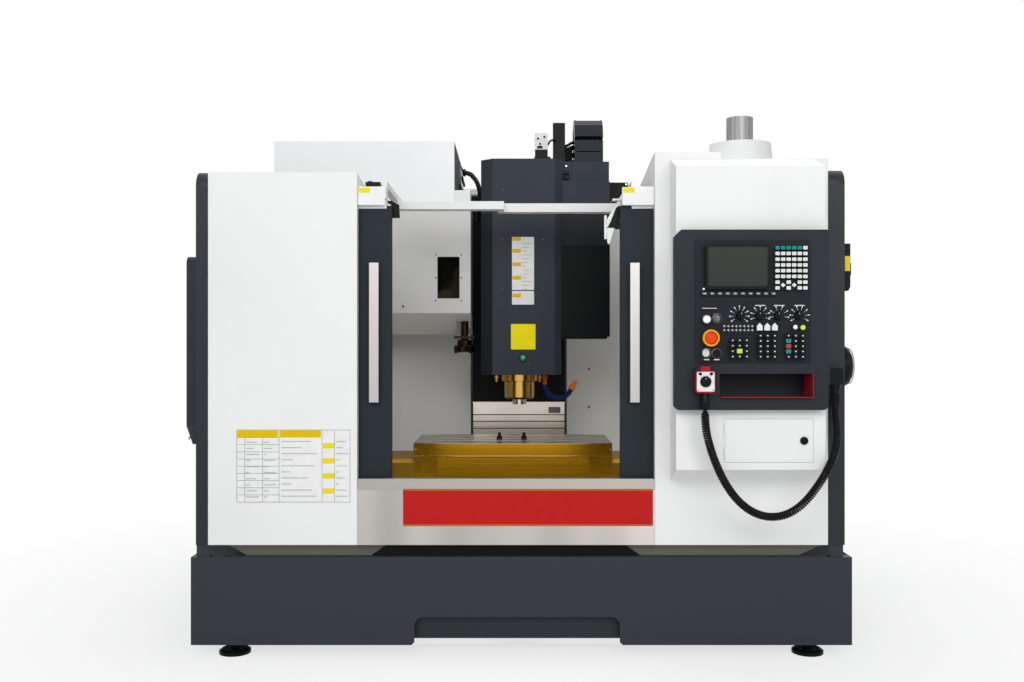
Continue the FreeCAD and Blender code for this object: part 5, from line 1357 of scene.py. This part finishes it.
def ribbed_conduits():
    """Black conduits behind the head: the tool changer's lead and the pair from the junction box."""
    radius = 0.0122
    Shape().conduit(MAGAZINE_LEAD, radius).piece("magazine_lead", BLACK_RUBBER)
    start_y, high, bend_y, low = 0.3802, 2.030, 1.047, 1.950
    for number, x in enumerate((0.466, 0.545)):
        Shape().conduit([(x, start_y, high), (x, bend_y, high), (x, bend_y, low)], radius).piece(
            "cabinet_conduit_" + str(number + 1), BLACK_RUBBER)
    cabinet = Span("electrical_cabinet")
    front = cabinet.front - SKIN
    Shape().box(wider(0.442, cabinet.right), (front, 0.380 - SKIN), wider(1.966, 2.064)).piece(
        "junction_box", BLACK_PLASTIC, edge=0.003)
    fixings("junction_screws", CHROME, [(x, front, z) for z in (2.054, 1.976) for x in (0.452, 0.556)],
            -0.0022, (0.0035, -0.002), (0.0045, 0), steps=12)


def spigot_sleeve():
    """Bare steel sleeve over the stub."""
    top = Span("extraction_spigot").top + 0.0005
    low, inside, outside = 2.068, 0.052, 0.0551
    Shape().turned((0.911, -0.750, 0), [(inside, low), (outside, low), (outside, top), (inside, top)],
                   "Z", 48).piece("spigot_sleeve", BRUSHED_SLEEVE)


# ---------------------------------------------------------------- inside and at the doors

def wall_details():
    """Edge strips and screws on the rear inner walls, and two black sheets of painted shade: beside the
    column and behind the socket of the tool changer's lead."""
    wall = Span("inner_liner").back - 0.003
    strips = Shape()
    for x in ((-0.699, -0.644), (0.498, 0.548)):
        strips.box(x, (wall - 0.0025, wall + 0.0005), (0.560, 1.840))
    strips.piece("wall_strips", WALL_STRIP, edge=0.001)
    fixings("wall_screws", DARK_STEEL, [(0.3835, wall, z) for z in (1.087, 0.880)], -0.003,
            (0.0045, -0.0028), (0.006, 0))
    left, y = -0.262, (0.6715, 0.6745)
    # Painted shade: a black sheet, with two small stand-offs, closing the dark slit beside the column.
    screen = Shape().box((left, -0.185), y, (1.415, 1.912))
    screen.box((left, -0.247), y, (1.910, 1.956))
    for bottom in (1.450, 1.740):
        screen.box((-0.215, -0.200), (0.674, 0.6905), (bottom, bottom + 0.020))
    screen.piece("column_shade_screen", BLACK_RUBBER)
    # Painted shade: a black sheet in the dark opening behind the lead's socket.
    Shape().box((-0.280, -0.202), (0.830, 0.833), (1.860, 2.076)).piece("socket_shade_guard", BLACK_RUBBER)


def door_stops():
    """Stops behind both doors: a black gusset on the left, a white bracket with a black link on the right;
    their black is partly painted shade behind the door tops.
    """
    front, back = -0.910, -0.896
    # Black gusset, partly painted shade behind the left door top.
    gusset = Shape().prism([(-0.545, 1.803), (-0.520, 1.803), (-0.490, 1.786), (-0.487, 1.734),
                            (-0.521, 1.734), (-0.523, 1.788), (-0.545, 1.795)], front, back)
    gusset.box((-0.545, -0.536), (-0.920, back), (1.8025, 1.815))
    gusset.piece("stop_gusset", BLACK_SATIN, edge=0.002)
    bracket = Shape().box((0.3335, 0.343), (front, back), (1.649, 1.744))
    bracket.prism([(0.3425, 1.6935), (0.346, 1.634), (0.353, 1.627), (0.3752, 1.6935)], front, back)
    bracket.prism([(0.338, 1.717), (0.416, 1.848), (0.429, 1.843), (0.346, 1.695)], front, back)
    bracket.box((0.366, 0.445), (-0.920, back), (1.8025, 1.810))
    bracket.piece("stop_bracket", WHITE_COAT, edge=0.0008)
    # Black link, partly painted shade of the right door-top channel.
    link = [(0.3796, 1.7731), (0.3949, 1.7836), (0.3969, 1.7502), (0.3929, 1.7197), (0.3752, 1.694),
            (0.3479, 1.6964), (0.3599, 1.7225)]
    Shape().prism(link, front - 0.006, front + 0.0005).piece("stop_link", BLACK_SATIN, edge=0.0015)


# ---------------------------------------------------------------- sides and rear

def side_details():
    """Yellow plate on the main switch box, rings of the fan grille and the service cover's screws."""
    Shape().box((1.288, 1.3085), (-0.9408, -0.9396), (1.5186, 1.578)).piece("switch_plate", LABEL_YELLOW)
    hub = (Span("side_fittings").right, -0.835, 1.138)
    grille = Shape()
    for ring in range(5):
        inside = 0.020 + ring * 0.0125
        outside = inside + 0.0024
        grille.turned(hub, [(inside, -0.0005), (inside, 0.0016), (outside, 0.0016), (outside, -0.0005)],
                      "X", 40)
    grille.piece("fan_grille", BLACK_SATIN)
    places = [(-1.336, y, z) for y in (-0.900, -0.645, -0.390) for z in (0.850, 1.548)]
    fixings("service_cover_screws", CHROME, places, -0.0005, (0.006, -0.0005), (0.007, 0.0015),
            (0.007, 0.004), axis="X", steps=18)


def access_seam_shade():
    """Grey lines of painted shade round the lower door of the operator's cabinet, where its seam is."""
    door = Span("access_door")
    gap, thin = 0.0022, 0.0014
    left, right = wider(door.left, door.right, gap)
    bottom, top = wider(door.bottom, door.top, gap)
    surface = Span("operator_cabinet").front
    # Painted shade: grey film lines where the door's gap lies in shade.
    seam_shade = Shape()
    for x in ((left - thin, left), (right, right + thin)):
        seam_shade.film(x, (bottom - thin, top + thin), surface, 0.0003)
    for z in ((bottom - thin, bottom), (top, top + thin)):
        seam_shade.film((left, right), z, surface, 0.0003)
    seam_shade.piece("access_seam_shade", LABEL_GREY)


def cabinet_details():
    """Louvres and swing handle on the rear cabinet's door."""
    surface = Span("cabinet_door").back
    louvres = Shape()
    for x in (-0.330, 0.330):
        for number in range(9):
            z = 0.760 + number * 0.026
            outline = [(surface - 0.0004, z), (surface + 0.0085, z), (surface - 0.0004, z + 0.015)]
            louvres.prism(outline, *about(x, 0.110), "X")
    louvres.piece("cabinet_louvres", WHITE_COAT, "cabinet_door", 0.001)
    handle = Shape().plate((-0.538, -0.506), (surface - 0.0005, surface + 0.006), (1.190, 1.350), 0.006)
    handle.plate((-0.532, -0.512), (surface + 0.005, surface + 0.015), (1.205, 1.335), 0.006)
    handle.piece("cabinet_handle", BLACK_SATIN, "cabinet_door", 0.0015)


def build():
    """Everything that the scene adds to the CAD model, in the order of its making."""
    for make in (set_studio, hand_wheel_cord, dress_nodes, instruction_plate, banner, bracket_plates,
                 control_unit, operator_plate, selector_scales, knob_lines, hand_wheel_box, tray_lining,
                 head_front, head_top, cable_chain, coolant_hose, spindle_details, slat_cover, table_guard,
                 wall_details, door_stops, magazine_details, changer_arm, ribbed_conduits, spigot_sleeve,
                 side_details, access_seam_shade, cabinet_details):
        make()


build()
